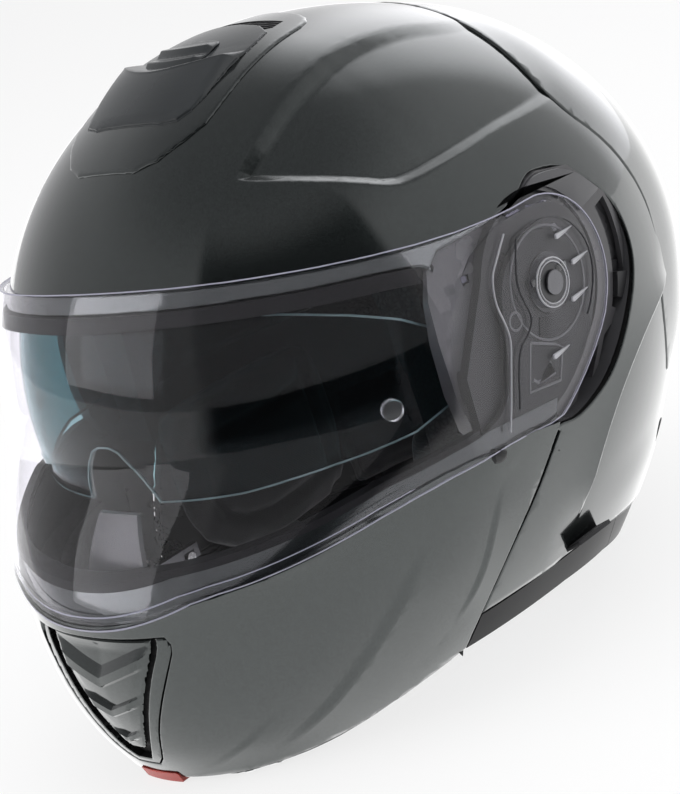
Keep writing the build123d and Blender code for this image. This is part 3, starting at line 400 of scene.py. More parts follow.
def score(shape, line, view, closed=False, cell=0.006):
    """Cuts the faces of a shape along a line of the side, plan or front view."""
    lows = [min(p[i] for p in line) - 2 * cell for i in (0, 1)]
    highs = [max(p[i] for p in line) + 2 * cell for i in (0, 1)]
    drawers = {}

    def put_away(face):
        spot = flat_of(face.calc_center_median(), view)
        drawers.setdefault((spot.x // cell, spot.y // cell), []).append((face, spot))

    for face in shape.faces:
        corner = face.verts[0].co
        if lows[0] < corner[view[0]] < highs[0] and lows[1] < corner[view[1]] < highs[1]:
            put_away(face)
    for a, b in zip(line, line[1:] + line[:1] if closed else line[1:]):
        length = (b - a).length
        if length < 1e-7:
            continue
        run = (b - a) / length
        steps = int(length / cell * 2) + 1
        marks = {(p.x // cell, p.y // cell) for p in (a.lerp(b, i / steps) for i in range(steps + 1))}
        marks = {(i + k, j + m) for i, j in marks for k in (-1, 0, 1) for m in (-1, 0, 1)}
        near = [face for mark in sorted(marks) for face, spot in drawers.get(mark, [])
                if face.is_valid and -cell < (spot - a).dot(run) < length + cell]
        near = list(dict.fromkeys(near))
        if not near:
            continue
        normal, place = Vector((0, 0, 0)), Vector((0, 0, 0))
        normal[view[0]], normal[view[1]] = -run.y, run.x
        place[view[0]], place[view[1]] = a.x, a.y
        edges = dict.fromkeys(edge for face in near for edge in face.edges)
        verts = dict.fromkeys(vert for face in near for vert in face.verts)
        made = bmesh.ops.bisect_plane(shape, geom=near + list(edges) + list(verts), plane_co=place,
                                      plane_no=normal, dist=2e-5)
        for item in made["geom"]:
            if isinstance(item, bmesh.types.BMFace):
                put_away(item)


def drop_faces(shape, view, unwanted):
    """Takes away the faces whose middles lie inside any of some outlines of a view."""
    faces = list(shape.faces)
    spots = flats_of([face.calc_center_median() for face in faces], view)
    out = np.zeros(len(faces), bool)
    for outline in unwanted:
        out |= within(spots, outline)
    bmesh.ops.delete(shape, geom=[face for face, gone in zip(faces, out) if gone], context="FACES")


def keep_faces(shape, view, outline):
    """Takes away all but the faces whose middles lie inside an outline of a view."""
    faces = list(shape.faces)
    stay = within(flats_of([face.calc_center_median() for face in faces], view), outline)
    bmesh.ops.delete(shape, geom=[face for face, kept in zip(faces, stay) if not kept], context="FACES")


def gaps_of(shape, line, view, closed=False):
    """The vertices of a shape, each with its distance from a line."""
    verts = list(shape.verts)
    return zip(verts, gaps_to(flats_of([vert.co for vert in verts], view), line, closed)[0])


def held(value):
    """A number held between 0 and 1."""
    return min(max(value, 0), 1)


def eased(value):
    """A rise from 0 to 1 with a soft start and end."""
    return value * value * (3 - 2 * value)


def score_edge(shape, line, view, closed=False, roll=EDGE_ROLL):
    """Scores an edge line and the two lines that its rounding needs, on the line's left."""
    for share in (0, 0.3, 1):
        score(shape, moved(line, roll * share, closed), view, closed)


def roll_edge(shape, line, view, closed=False, roll=EDGE_ROLL):
    """Sinks the surface beside a scored line in a quarter round, as a moulded edge is."""
    shape.normal_update()
    for vert, gap in gaps_of(shape, line, view, closed):
        if gap < roll:
            vert.co -= vert.normal * (roll - math.sqrt(max(roll**2 - (roll - gap) ** 2, 0)))


def crease(shape, line, view, height, width, fade, side=1):
    """Raises the surface on one side of a line in a crisp step that fades away from it."""
    for share in (-1, -0.35, 0.35, 1):
        score(shape, moved(line, side * width * share), view)
    shape.normal_update()
    verts = list(shape.verts)
    spots = flats_of([vert.co for vert in verts], view)
    sizes, signs = gaps_to(spots, line)
    ends = np.minimum(*(np.hypot(*(spots - np.array(tuple(end))).T) for end in (line[0], line[-1])))
    for vert, gap, end in zip(verts, sizes * signs * side, ends):
        if -width < gap < 4 * fade:
            lift = eased(held((gap + width) / (2 * width))) * math.exp(-max(gap, 0) / fade)
            vert.co += vert.normal * height * lift * eased(min(end / (2 * fade), 1))


def sink_panel(shape, outline, view, depth, band):
    """Sinks the surface inside a closed outline, over a sloping band with crisp borders."""
    for share in (0, 0.14, 0.3, 0.7, 0.86, 1):
        score(shape, moved(outline, band * share, True), view, True)
    shape.normal_update()
    verts = list(shape.verts)
    spots = flats_of([vert.co for vert in verts], view)
    inside = within(spots, outline)
    sizes, _ = gaps_to(spots, outline, True)
    for vert, ramp, sunk in zip(verts, np.minimum(sizes / band, 1), inside):
        if sunk:
            if ramp < 0.3:
                ramp = ramp**2 / 0.42
            elif ramp > 0.7:
                ramp = 1 - (1 - ramp) ** 2 / 0.42
            else:
                ramp = (ramp - 0.15) / 0.7
            vert.co -= vert.normal * depth(vert.co) * ramp


def finish_surface(shape):
    """Merges slivers, points the faces outwards and marks the open edges as sharp."""
    bmesh.ops.remove_doubles(shape, verts=shape.verts, dist=8e-5)
    bmesh.ops.dissolve_degenerate(shape, dist=5e-5, edges=shape.edges)
    bmesh.ops.recalc_face_normals(shape, faces=shape.faces)
    for edge in shape.edges:
        edge.smooth = not edge.is_boundary


def piece(name, shape, body, finishes, replaces=(), wall=0, sharp=40):
    """Turns a finished shape into a piece of the helmet that rides on a body."""
    mesh = bpy.data.meshes.new(name)
    shape.to_mesh(mesh)
    shape.free()
    mesh.shade_smooth()
    for edge in mesh.edges:
        edge.use_edge_sharp = False
    mesh.set_sharp_from_angle(angle=math.radians(sharp))
    for finish in finishes:
        mesh.materials.append(finish)
    made = bpy.data.objects.new(name, mesh)
    bpy.context.collection.objects.link(made)
    if wall:
        thickness = made.modifiers.new("wall", "SOLIDIFY")
        thickness.thickness = wall
        thickness.offset = -1
        thickness.material_offset = len(finishes) - 1
    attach(made, body)
    if replaces:
        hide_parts(*replaces)
    return made


def new_finish(name):
    """A new material, its shader, and the place on the piece that its patterns read."""
    finish = bpy.data.materials.new(name)
    finish.use_nodes = True
    tree = finish.node_tree
    return finish, tree.nodes["Principled BSDF"], Wire(tree).node("ShaderNodeTexCoord", output=3)


def shade(colour, share):
    """A colour made darker or lighter, with its alpha."""
    return (*(part * share for part in colour), 1)


def lacquer(name, colour, sheen_colour):
    """Metallic lacquer under clear coat: fine flake that tints the colour and breaks up the gloss."""
    paint, shader, spot = new_finish(name)
    cells = {"Vector": spot, "Scale": 2600.0}
    flake = spot.node("ShaderNodeTexVoronoi", {"feature": "F1"}, cells, output=1).part(0)
    tone = flake * 0.75 + spot.noise(14.0, 3.0) * 0.25
    spot.feed(shader, {
        "Base Color": tone.blend(shade(colour, 1), shade(sheen_colour, 1)),
        "Roughness": flake * 0.08 + 0.14, "Metallic": 0.75,
        "Coat Weight": 1.0, "Coat Roughness": 0.02, "Coat IOR": 1.5})
    return paint


def moulded(name, colour, roughness, grain, relief, variation=0.25, index=1.46):
    """Moulded plastic: a fine eroded grain, slightly uneven gloss and tone."""
    plastic, shader, spot = new_finish(name)
    fine, broad = spot.noise(grain, 3.0), spot.noise(22.0, 4.0)
    tone = broad * 0.92 + fine * 0.08
    spot.feed(shader, {
        "Base Color": tone.blend(shade(colour, 1 - variation), shade(colour, 1 + variation)),
        "Roughness": broad * 0.14 + (roughness - 0.07),
        "Normal": fine.relief(0.12, relief / 1000), "IOR": index})
    return plastic


SHELL_PAINT = lacquer("shell_lacquer", (0.018, 0.022, 0.0215), (0.042, 0.051, 0.050))
SHELL_INSIDE = moulded("shell_inside", (0.02, 0.02, 0.021), 0.55, 900.0, 0.02)
BROW = shares([(-0.7, 0.703), (-0.380, 0.703), (-0.267, 0.681), (-0.206, 0.671), (-0.168, 0.662)])
BROW_CORNER = shares([(-0.168, 0.662), (-0.152, 0.655), (-0.146, 0.630), (-0.145, 0.60)])
SPLIT = shares([(-0.145, 0.36), (-0.035, 0.346), (-0.048, 0.330), (-0.069, 0.293), (-0.094, 0.252),
                (-0.120, 0.210), (-0.142, 0.165), (-0.160, 0.121), (-0.177, 0.062), (-0.192, -0.03)])
SHELL_LOW = shares([(-0.7, 0.111), (-0.250, 0.111), (0, 0.113), (0.087, 0.107), (0.217, 0.083),
                    (0.310, 0.053), (0.7, 0.045)])
RECESS = shares([(-0.174, 0.667), (-0.058, 0.671), (0.009, 0.683), (0.038, 0.701), (0.058, 0.705),
                 (0.113, 0.690), (0.165, 0.624), (0.179, 0.583), (0.178, 0.526), (0.160, 0.480),
                 (0.126, 0.434), (0.100, 0.403), (0.070, 0.374), (0.040, 0.357), (0.010, 0.346),
                 (-0.012, 0.343), (-0.040, 0.351), (-0.174, 0.351)])
PORT = [Vector((-0.4, BROW[0].y))] + softened(BROW[1:] + BROW_CORNER[1:], 2) + softened(SPLIT, 2)
LOW_EDGE = [SHELL_LOW[0]] + softened(SHELL_LOW[1:-1], 2) + [SHELL_LOW[-1]]
RECESS_LINE = softened(RECESS, 2, True)

front_of_port = PORT + [Vector((-0.4, -0.1))]
under_edge = LOW_EDGE + [Vector((0.4, -0.1)), Vector((-0.4, -0.1))]
shell = form_ball(0.0)
score_edge(shell, PORT, SIDE)
score_edge(shell, LOW_EDGE, SIDE)
score_edge(shell, RECESS_LINE, SIDE, True)
drop_faces(shell, SIDE, [front_of_port, under_edge, RECESS_LINE])
CROWN_PANEL = [Vector((y / 1000, z / 1000)) for y, z in (
    (-85.5, 223), (-83, 220.5), (-72, 216), (-56, 209), (-44, 203), (-33, 202.5), (-16, 203.5), (3, 204.5),
    (25, 205), (78, 203), (80, 240), (48, 246), (33, 250), (17, 252.5), (-5, 253.5), (-26, 251.5), (-49, 245),
    (-64, 238), (-77, 231), (-84, 226))]
LOWER_CREASE = softened([Vector(p) for p in ((0.098, 0.118), (0.074, 0.112), (0.055, 0.1055), (0.040, 0.0975),
                                             (0.027, 0.088), (0.017, 0.077), (0.010, 0.066), (0.004, 0.054),
                                             (-0.003, 0.042))])


def crown_depth(place):
    """The crown panels run out towards the back."""
    return 0.0030 * (1 - 0.75 * held((place.y + 0.02) / 0.08))


sink_panel(shell, softened(CROWN_PANEL, 1, True), SIDE, crown_depth, 0.0058)
crease(shell, LOWER_CREASE, SIDE, 0.0028, 0.0016, 0.012, -1)
HEM_STAND, HEM_TOP, HEM_FADE = 0.0011, 0.058, 0.020
HEM_FRONT, HEM_RUN = 0.010, 0.050
shell.normal_update()
for vert in shell.verts:
    low = held((HEM_TOP - vert.co.z) / HEM_FADE)
    behind_ear = held((vert.co.y - HEM_FRONT) / HEM_RUN)
    vert.co += vert.normal * HEM_STAND * eased(low) * eased(behind_ear)
roll_edge(shell, PORT, SIDE)
roll_edge(shell, LOW_EDGE, SIDE)
roll_edge(shell, RECESS_LINE, SIDE, True)
finish_surface(shell)
piece("shell_moulding", shell, "shell", [SHELL_PAINT, SHELL_INSIDE], ["outer_shell"], SHELL_WALL)


# Chin bar: the moulded lower front that swings up with the visor, lacquered as the shell is. Its
# wall follows the helmet's form down to the rim, and two flat arms carry it on the side pivots.
SPLIT_GAP = 0.0008
ARM_IN, ARM_OUT = 0.1154, 0.1188
PIVOT = Vector((0.0116 * LENGTH, 0.549 * HEIGHT))
RIM = shares([(-0.7, 0.0075), (-0.420, 0.0075), (-0.383, 0.010), (-0.319, 0.021), (-0.246, 0.041),
              (-0.177, 0.062), (-0.050, 0.1006)])
CHIN_TOP = shares([(-0.7, 0.308), (-0.513, 0.308), (-0.455, 0.345), (-0.351, 0.368), (-0.278, 0.389),
                   (-0.191, 0.398), (-0.145, 0.400), (-0.030, 0.385), (0.050, 0.378)])
VISOR_LOW = shares([(-0.7, 0.273), (-0.510, 0.273), (-0.496, 0.284), (-0.478, 0.298), (-0.455, 0.315),
                    (-0.412, 0.324), (-0.351, 0.340), (-0.278, 0.360), (-0.191, 0.370), (-0.101, 0.366),
                    (-0.033, 0.350)])
ARM = shares([(-0.150, 0.380), (-0.050, 0.372), (-0.012, 0.378), (0.035, 0.412), (0.078, 0.462),
              (0.087, 0.526), (0.060, 0.600), (0.0116, 0.640), (-0.060, 0.600), (-0.078, 0.520),
              (-0.090, 0.445), (-0.116, 0.408), (-0.150, 0.402)])
VENT_FRAME = [Vector(p) for p in ((0.0065, 0.0105), (0.012, 0.0150), (0.020, 0.030), (0.027, 0.042),
                                  (0.035, 0.056), (0.0400, 0.066), (0.0375, 0.0705))]


def plate(outline, near, far, bevel=0.0006, view=SIDE, rounds=2):
    """Flat plate of an outline between two distances along the third axis, its far rim bevelled."""
    axis = 3 - view[0] - view[1]
    shape = bmesh.new()
    corners = []
    for spot in outline:
        place = Vector((near, near, near))
        place[view[0]], place[view[1]] = spot
        corners += bmesh.ops.create_vert(shape, co=place)["vert"]
    rim = [edge for pair in zip(corners, corners[1:] + corners[:1])
           for edge in bmesh.ops.contextual_create(shape, geom=pair)["edges"]]
    bmesh.ops.edgeloop_fill(shape, edges=rim)
    grown = bmesh.ops.extrude_face_region(shape, geom=shape.faces[:], use_keep_orig=True)["geom"]
    thick = Vector((0, 0, 0))
    thick[axis] = far - near
    tops = [item for item in grown if isinstance(item, bmesh.types.BMVert)]
    bmesh.ops.translate(shape, verts=tops, vec=thick)
    bmesh.ops.recalc_face_normals(shape, faces=shape.faces)
    if bevel:
        edges = [edge for edge in shape.edges if all(abs(v.co[axis] - far) < 1e-6 for v in edge.verts)]
        bmesh.ops.bevel(shape, geom=edges, offset=bevel, segments=rounds, profile=0.5, affect="EDGES",
                        material=-1)
    return shape


def both_sides(shape):
    """A left shape and its mirror image."""
    bmesh.ops.mirror(shape, geom=shape.verts[:] + shape.edges[:] + shape.faces[:], axis="X", merge_dist=-1)
    bmesh.ops.recalc_face_normals(shape, faces=shape.faces)
    return shape


def disc(middle, radius, steps=48):
    """Points round a circle of a view, turned to the left."""
    turns = [2 * math.pi * i / steps for i in range(steps)]
    return [middle + Vector((math.cos(t), math.sin(t))) * radius for t in turns]


def flatten_sides(shape, limit):
    """Presses what stands out further than a limit to a flat side."""
    for side in (-1, 1):
        bmesh.ops.bisect_plane(shape, geom=shape.faces[:] + shape.edges[:] + shape.verts[:],
                               plane_co=(side * limit, 0, 0), plane_no=(1, 0, 0), dist=2e-5)
    for vert in shape.verts:
        vert.co.x = min(max(vert.co.x, -limit), limit)


def mirrored_outline(half):
    """A closed front-view outline from its half with positive x, run from the bottom up."""
    return half + [Vector((-p.x, p.y)) for p in reversed(half)]


def window(left, low, right, high):
    """A rectangle of a view, turned to the left."""
    return [Vector(p) for p in ((left, low), (right, low), (right, high), (left, high))]


SPLIT_LINE = softened(shares([(-0.018, 0.390)]) + SPLIT[1:], 2)
CHIN_REAR = list(reversed(moved(SPLIT_LINE, -SPLIT_GAP)))
RIM_LINE = softened(RIM, 1)
TOP_LINE = list(reversed(CHIN_TOP))
LIP_LINE = softened(VISOR_LOW, 1)
behind_split = CHIN_REAR + [Vector((0.3, 0.12)), Vector((0.3, -0.03))]
above_top = CHIN_TOP + [Vector((0.3, 0.1005)), Vector((0.3, 0.4)), Vector((-0.4, 0.4))]
under_rim = RIM_LINE + [Vector((0.3, -0.1)), Vector((-0.4, -0.1))]
vent_hole = mirrored_outline(softened(VENT_FRAME, 1))
VENT_ROLL = 0.0007
chin = form_ball(0.0)
keep_faces(chin, SIDE, window(-0.4, -0.1, 0.03, 0.125))
score_edge(chin, CHIN_REAR, SIDE)
score_edge(chin, RIM_LINE, SIDE)
score_edge(chin, TOP_LINE, SIDE)
score_edge(chin, vent_hole[::-1], FRONT, True, VENT_ROLL)
drop_faces(chin, SIDE, [behind_split, above_top, under_rim])
drop_faces(chin, FRONT, [vent_hole])
CHIN_CREASE = softened([Vector(p) for p in ((-0.084, 0.078), (-0.089, 0.070), (-0.098, 0.057),
                                            (-0.110, 0.041), (-0.123, 0.025), (-0.135, 0.013),
                                            (-0.141, 0.008))])
FRONT_CREASE = softened([Vector(p) for p in ((-0.141, 0.030), (-0.146, 0.022), (-0.152, 0.014),
                                             (-0.157, 0.005))])
REAR_CREASE = softened([Vector(p) for p in ((-0.047, 0.086), (-0.054, 0.070), (-0.058, 0.055),
                                            (-0.064, 0.043), (-0.073, 0.032))])
crease(chin, CHIN_CREASE, SIDE, 0.0021, 0.0026, 0.014, 1)
crease(chin, FRONT_CREASE, SIDE, 0.0010, 0.0018, 0.009, 1)
crease(chin, REAR_CREASE, SIDE, 0.0010, 0.0018, 0.010, 1)
LIP_DROP, LIP_STAND, LIP_FADE, LIP_HALF = 0.0012, 0.0030, 0.0060, 0.0004
LIP_REAR, LIP_RUN = -0.095, 0.035
lip_edge = moved(LIP_LINE, -LIP_DROP)
for share in (-1, 0, 1, 3, 6):
    score(chin, moved(lip_edge, -LIP_HALF * share), SIDE)
tuck_line = moved(LIP_LINE, 0.0006)
score(chin, tuck_line, SIDE)
score(chin, moved(tuck_line, 0.0004), SIDE)
LOW_Y, LOW_Z = zip(*sorted((p.x, p.y + 0.0002) for p in tuck_line))
chin.normal_update()
chin_verts = list(chin.verts)
lip_gaps, lip_sides = gaps_to(flats_of([v.co for v in chin_verts], SIDE), lip_edge)
for vert, gap in zip(chin_verts, -lip_gaps * lip_sides):
    forward = held((LIP_REAR - vert.co.y) / LIP_RUN)
    if gap > -LIP_HALF and forward:
        step = held((gap + LIP_HALF) / (2 * LIP_HALF))
        fade = math.exp(-max(gap - LIP_DROP, 0) / LIP_FADE)
        vert.co += vert.normal * LIP_STAND * step * fade * eased(forward)
# A slight swell of the skin below each arm
SWELL_MIDDLE, SWELL_STAND, SWELL_REACH = Vector((-0.0490, 0.0965)), 0.0009, 0.0100
for vert in chin.verts:
    away = (flat_of(vert.co, SIDE) - SWELL_MIDDLE).length / SWELL_REACH
    vert.co.x += math.copysign(SWELL_STAND * math.exp(-away**2), vert.co.x)
roll_edge(chin, CHIN_REAR, SIDE)
roll_edge(chin, RIM_LINE, SIDE)
roll_edge(chin, vent_hole[::-1], FRONT, True, VENT_ROLL)
for vert in chin.verts:
    under_visor = vert.co.y > LIP_REAR and vert.co.z > np.interp(vert.co.y, LOW_Y, LOW_Z)
    if under_visor and abs(vert.co.x) > ARM_OUT:
        vert.co.x = math.copysign(ARM_OUT, vert.co.x)
finish_surface(chin)
piece("chin_moulding", chin, "chin_bar", [SHELL_PAINT, SHELL_INSIDE], ["chin_bar"], SHELL_WALL)

ARM_PLASTIC = moulded("arm_plastic", (0.026, 0.0265, 0.028), 0.46, 1400.0, 0.006, index=1.35)
arms = plate(softened(ARM, 2, True), ARM_IN, ARM_OUT - 0.0004)
both_sides(arms)
piece("chin_arms", arms, "chin_bar", [ARM_PLASTIC], ["chin_bar"], sharp=30)


# Chin vent: a lacquered surround let into the chin bar, and a tilting lacquered flap of three
# louvres that drop in steps. A black slot runs between them.
FLAP = [Vector(p) for p in ((0.0035, 0.0185), (0.0052, 0.0200), (0.011, 0.030), (0.017, 0.042),
                            (0.023, 0.053), (0.028, 0.0625), (0.0295, 0.0690))]
SLOT = [Vector(p) for p in ((0.0040, 0.0135), (0.0085, 0.0190), (0.0148, 0.0300), (0.0208, 0.0420),
                            (0.0275, 0.0555), (0.0326, 0.0650), (0.0326, 0.0700))]
SLOT_DEPTH = 0.0065
FRAME_INSET = 0.0002
FLAP_INSET = 0.0014
LOUVRE_TILT = 0.36
LOUVRE_LEVELS = [(0.0120, 0.0), (0.0222, 0.0004), (0.0232, 0.0019), (0.0252, 0.0016), (0.0262, 0.0),
                 (0.0352, 0.0006), (0.0362, 0.0022), (0.0388, 0.0018), (0.0399, 0.0), (0.0488, 0.0008),
                 (0.0500, 0.0026), (0.0535, 0.0020), (0.0575, -0.0010), (0.0660, -0.0022), (0.0750, -0.0022)]
LOUVRE_END = 0.0042
SLOT_ROLL = 0.0008
VENT_WALL = 0.0016
SLOT_BLACK = moulded("slot_black", (0.008, 0.008, 0.009), 0.6, 900.0, 0.01)


def front_patch(inset, outline, fine):
    """The form's front inside a front-view outline, divided finely enough for small relief."""
    shape = form_ball(inset)
    keep_faces(shape, SIDE, window(-0.4, -0.1, -0.08, 0.12))
    keep_faces(shape, FRONT, moved(outline, -0.008, True))
    bmesh.ops.subdivide_edges(shape, edges=shape.edges[:], cuts=fine, use_grid_fill=True)
    for vert in shape.verts:
        half, front, rear = form_level(vert.co.z, inset)
        along = max(1 - (abs(vert.co.x) / half) ** SQUARENESS, 0) ** (1 / SQUARENESS)
        vert.co.y = MIDDLE + (front - MIDDLE) * along
    return shape


def second_finish(shape, outline, view):
    """Gives the faces inside an outline the second finish."""
    faces = list(shape.faces)
    inside = within(flats_of([face.calc_center_median() for face in faces], view), outline)
    for face, chosen in zip(faces, inside):
        face.material_index = int(chosen)


flap_line, slot_line = (mirrored_outline(softened(half, 1)) for half in (FLAP, SLOT))
surround = front_patch(FRAME_INSET, vent_hole, 1)
inner_frame = moved(vent_hole, VENT_ROLL, True)
score(surround, inner_frame, FRONT, True)
score_edge(surround, slot_line[::-1], FRONT, True, SLOT_ROLL)
score(surround, slot_line, FRONT, True)
keep_faces(surround, FRONT, inner_frame)
roll_edge(surround, slot_line[::-1], FRONT, True, SLOT_ROLL)
spots = flats_of([v.co for v in surround.verts], FRONT)
for vert, sunk in zip(list(surround.verts), within(spots, moved(slot_line, 0.0001, True))):
    if sunk:
        vert.co.y += SLOT_DEPTH
finish_surface(surround)
second_finish(surround, slot_line, FRONT)
piece("vent_surround", surround, "chin_bar", [SHELL_PAINT, SLOT_BLACK], ["chin_vent_frame"], VENT_WALL)

flap = front_patch(FLAP_INSET, flap_line, 2)
score(flap, flap_line, FRONT, True)
for share in (0.25, 0.75, 1.0, 1.5):
    score(flap, moved(flap_line, LOUVRE_END * share, True), FRONT, True)
for level_here, _ in LOUVRE_LEVELS:
    wing = Vector((0.04, level_here + LOUVRE_TILT * 0.04))
    score(flap, [Vector((-wing.x, wing.y)), Vector((0, level_here)), wing], FRONT)
keep_faces(flap, FRONT, flap_line)
levels, stands = zip(*LOUVRE_LEVELS)
for vert, gap in gaps_of(flap, flap_line, FRONT, True):
    level_here = vert.co.z - LOUVRE_TILT * abs(vert.co.x)
    end = held((gap - LOUVRE_END * 0.25) / LOUVRE_END)
    vert.co.y -= np.interp(level_here, levels, stands) * end + 0.0008 * min(gap / 0.001, 1) - 0.0006
finish_surface(flap)
piece("vent_flap", flap, "chin_vent_flap", [SHELL_PAINT, SLOT_BLACK], ["chin_vent_flap"], VENT_WALL, sharp=24)


# Visor: a clear polycarbonate shield with flat ends, moulded in one piece. A pale band round its edge
# and a pale line along its low front are painted highlights, not ribs. Each end carries a hub ring,
# four drops and a bordered plate.
VISOR_OUT, VISOR_WALL, VISOR_STAND = 0.1218, 0.0022, 0.0042
VISOR_DISC = 0.1316 * HEIGHT
VISOR_TOP = shares([(-0.7, 0.741), (-0.391, 0.741), (-0.336, 0.726), (-0.243, 0.707), (-0.128, 0.688),
                    (-0.032, 0.680)])
VISOR_REAR = shares([(0.086, 0.455), (0.043, 0.408), (-0.005, 0.370), (-0.033, 0.355)])
disc_steps = [math.radians(a) for a in range(86, -34, -6)]
visor_disc_arc = [PIVOT + Vector((math.cos(a), math.sin(a))) * VISOR_DISC for a in disc_steps]
visor_low_open = shares([(-0.101, 0.366), (-0.191, 0.370), (-0.278, 0.360), (-0.351, 0.340), (-0.412, 0.324),
                         (-0.455, 0.315), (-0.478, 0.298), (-0.496, 0.284), (-0.510, 0.273), (-0.7, 0.273)])
VISOR_EDGE = list(reversed(softened(VISOR_TOP + visor_disc_arc + VISOR_REAR + visor_low_open, 1)))
# Bands from the edge that take the painted highlight finish: the whole rim, and a line along the low front.
HIGHLIGHT_BANDS = [(-1, 0.0005), (0.0036, 0.0040)]
HIGHLIGHT_REAR = -0.030
SIDE_RIB = 0.0006
SIDE_RIB_STAND = 0.0005


def clear(name, colour, roughness, index=1.26, smear=0.02):
    """Clear moulded plastic with faint polishing marks in its gloss."""
    plastic, shader, spot = new_finish(name)
    marks = spot.noise(60.0, 5.0)
    spot.feed(shader, {
        "Roughness": marks * smear + roughness,
        "Base Color": marks.blend(shade(colour, 1), shade(colour, 0.94)),
        "Transmission Weight": 1.0, "IOR": index})
    return plastic


def strip(line, width):
    """Outline of a band of even width along a line."""
    return moved(line, -width / 2) + list(reversed(moved(line, width / 2)))


def ring(middle, radius, width, steps=48):
    """Outline of a round band."""
    line = disc(middle, radius, steps)
    return strip(line + line[:1], width)


def millimetres(*points):
    return [Vector((a / 1000, b / 1000)) for a, b in points]


VISOR_CLEAR = clear("visor_clear", (0.93, 0.92, 0.96), 0.0, smear=0.0)
# Painted highlight: an opaque pale violet finish that stands in for the light caught along the clear visor's
# edge.
VISOR_EDGE_HIGHLIGHT = moulded("visor_edge_highlight", (0.34, 0.335, 0.42), 0.16, 300.0, 0.002, 0.08)
# Painted highlight: an opaque pale finish that stands in for the light caught by the clear raised border,
# drops and hub ring edges.
MARK_HIGHLIGHT = moulded("mark_highlight", (0.46, 0.46, 0.49), 0.14, 300.0, 0.002, 0.1)
MARK_DARK = moulded("mark_dark", (0.055, 0.055, 0.06), 0.2, 300.0, 0.002, 0.1)
HUB_HOLE = 0.0080
visor = form_ball(-VISOR_STAND)
keep_faces(visor, SIDE, window(-0.4, 0.05, 0.06, 0.22))
flatten_sides(visor, VISOR_OUT)
score(visor, VISOR_EDGE, SIDE)
for _, far in HIGHLIGHT_BANDS:
    score(visor, moved(VISOR_EDGE, far), SIDE)
score(visor, moved(VISOR_EDGE, HIGHLIGHT_BANDS[1][0]), SIDE)
hub_hole = disc(PIVOT, HUB_HOLE, 32)
score(visor, hub_hole, SIDE, True)
keep_faces(visor, SIDE, VISOR_EDGE)
drop_faces(visor, SIDE, [hub_hole])
finish_surface(visor)
visor.faces.ensure_lookup_table()
middles = [f.calc_center_median() for f in visor.faces]
rim_gaps, _ = gaps_to(flats_of(middles, SIDE), VISOR_EDGE)
# Faces in the edge band and in the low front line get the painted highlight finish; the rest stays clear.
for face, gap, middle in zip(visor.faces, rim_gaps, middles):
    along_low = middle.z < 0.100 and middle.y < HIGHLIGHT_REAR
    in_highlight = gap < HIGHLIGHT_BANDS[0][1] or (along_low and HIGHLIGHT_BANDS[1][0] < gap < HIGHLIGHT_BANDS[1][1])
    face.material_index = int(not in_highlight)
piece("visor_shield", visor, "visor", [VISOR_EDGE_HIGHLIGHT, VISOR_CLEAR], ["visor"], VISOR_WALL, sharp=30)

PLATE_BORDER = millimetres((-16, 173.5), (-24.8, 164.8), (-29, 160.4), (-30.8, 150.5), (-28.5, 142.1),
                           (-27.7, 135.6), (-28.9, 131.5), (-36, 114), (-41.5, 102))
INNER_BORDER = millimetres((-10.2, 169.1), (4, 172), (17.4, 168.8), (24.8, 163), (30.7, 153), (29.9, 140.7),
                           (23.7, 130.5), (19.6, 126.6))
INNER_LEFT = millimetres((-10.2, 169.1), (-16, 155.3), (-15.7, 147.6), (-12.1, 137.7), (-17.4, 132.2),
                         (-25.1, 129.2), (-33, 108))
DROPS = [millimetres((13.2, 161.7), (23.2, 162.2)), millimetres((18.9, 148.9), (28.6, 149.6)),
         millimetres((13.4, 135.3), (23.3, 136.3)), millimetres((-5.9, 118.7), (4.0, 119.4))]
DROP_RADIUS, DROP_TAIL = 0.0011, 0.0003
MARK_IN = VISOR_OUT - 0.0003
side_marks = bmesh.new()


def add_to(gathered, shape):
    """Puts a shape into a gathered one and frees it."""
    part = bpy.data.meshes.new("part")
    shape.to_mesh(part)
    shape.free()
    gathered.from_mesh(part)
    bpy.data.meshes.remove(part)


def side_rib(line):
    """A raised line on the visor's flat end."""
    return plate(strip(softened(line, 2), SIDE_RIB), MARK_IN, VISOR_OUT + SIDE_RIB_STAND, 0.0003)


# Raised border, drops and two thin rings round the hub, all in the pale painted highlight finish.
add_to(side_marks, side_rib(PLATE_BORDER))
for head, tail in DROPS:
    run = (tail - head).normalized()
    turn = math.atan2(run.y, run.x)
    sweep = [turn + math.pi * (0.5 + i / 12) for i in range(13)]
    outline = [head + Vector((math.cos(a), math.sin(a))) * DROP_RADIUS for a in sweep]
    outline += [tail + Vector((run.y, -run.x)) * DROP_TAIL, tail - Vector((run.y, -run.x)) * DROP_TAIL]
    add_to(side_marks, plate(outline, MARK_IN, VISOR_OUT + 0.0009, 0.0005, rounds=3))
for radius, width in ((0.0083, 0.0004), (0.0098, 0.0005)):
    add_to(side_marks, plate(ring(PIVOT, radius, width), MARK_IN, VISOR_OUT + 0.0006, 0.0001))
both_sides(side_marks)
piece("visor_side_marks", side_marks, "visor", [MARK_HIGHLIGHT], ["visor"], sharp=30)
side_ribs = side_rib(INNER_BORDER)
add_to(side_ribs, side_rib(INNER_LEFT))
both_sides(side_ribs)
piece("visor_side_ribs", side_ribs, "visor", [MARK_DARK], ["visor"], sharp=30)

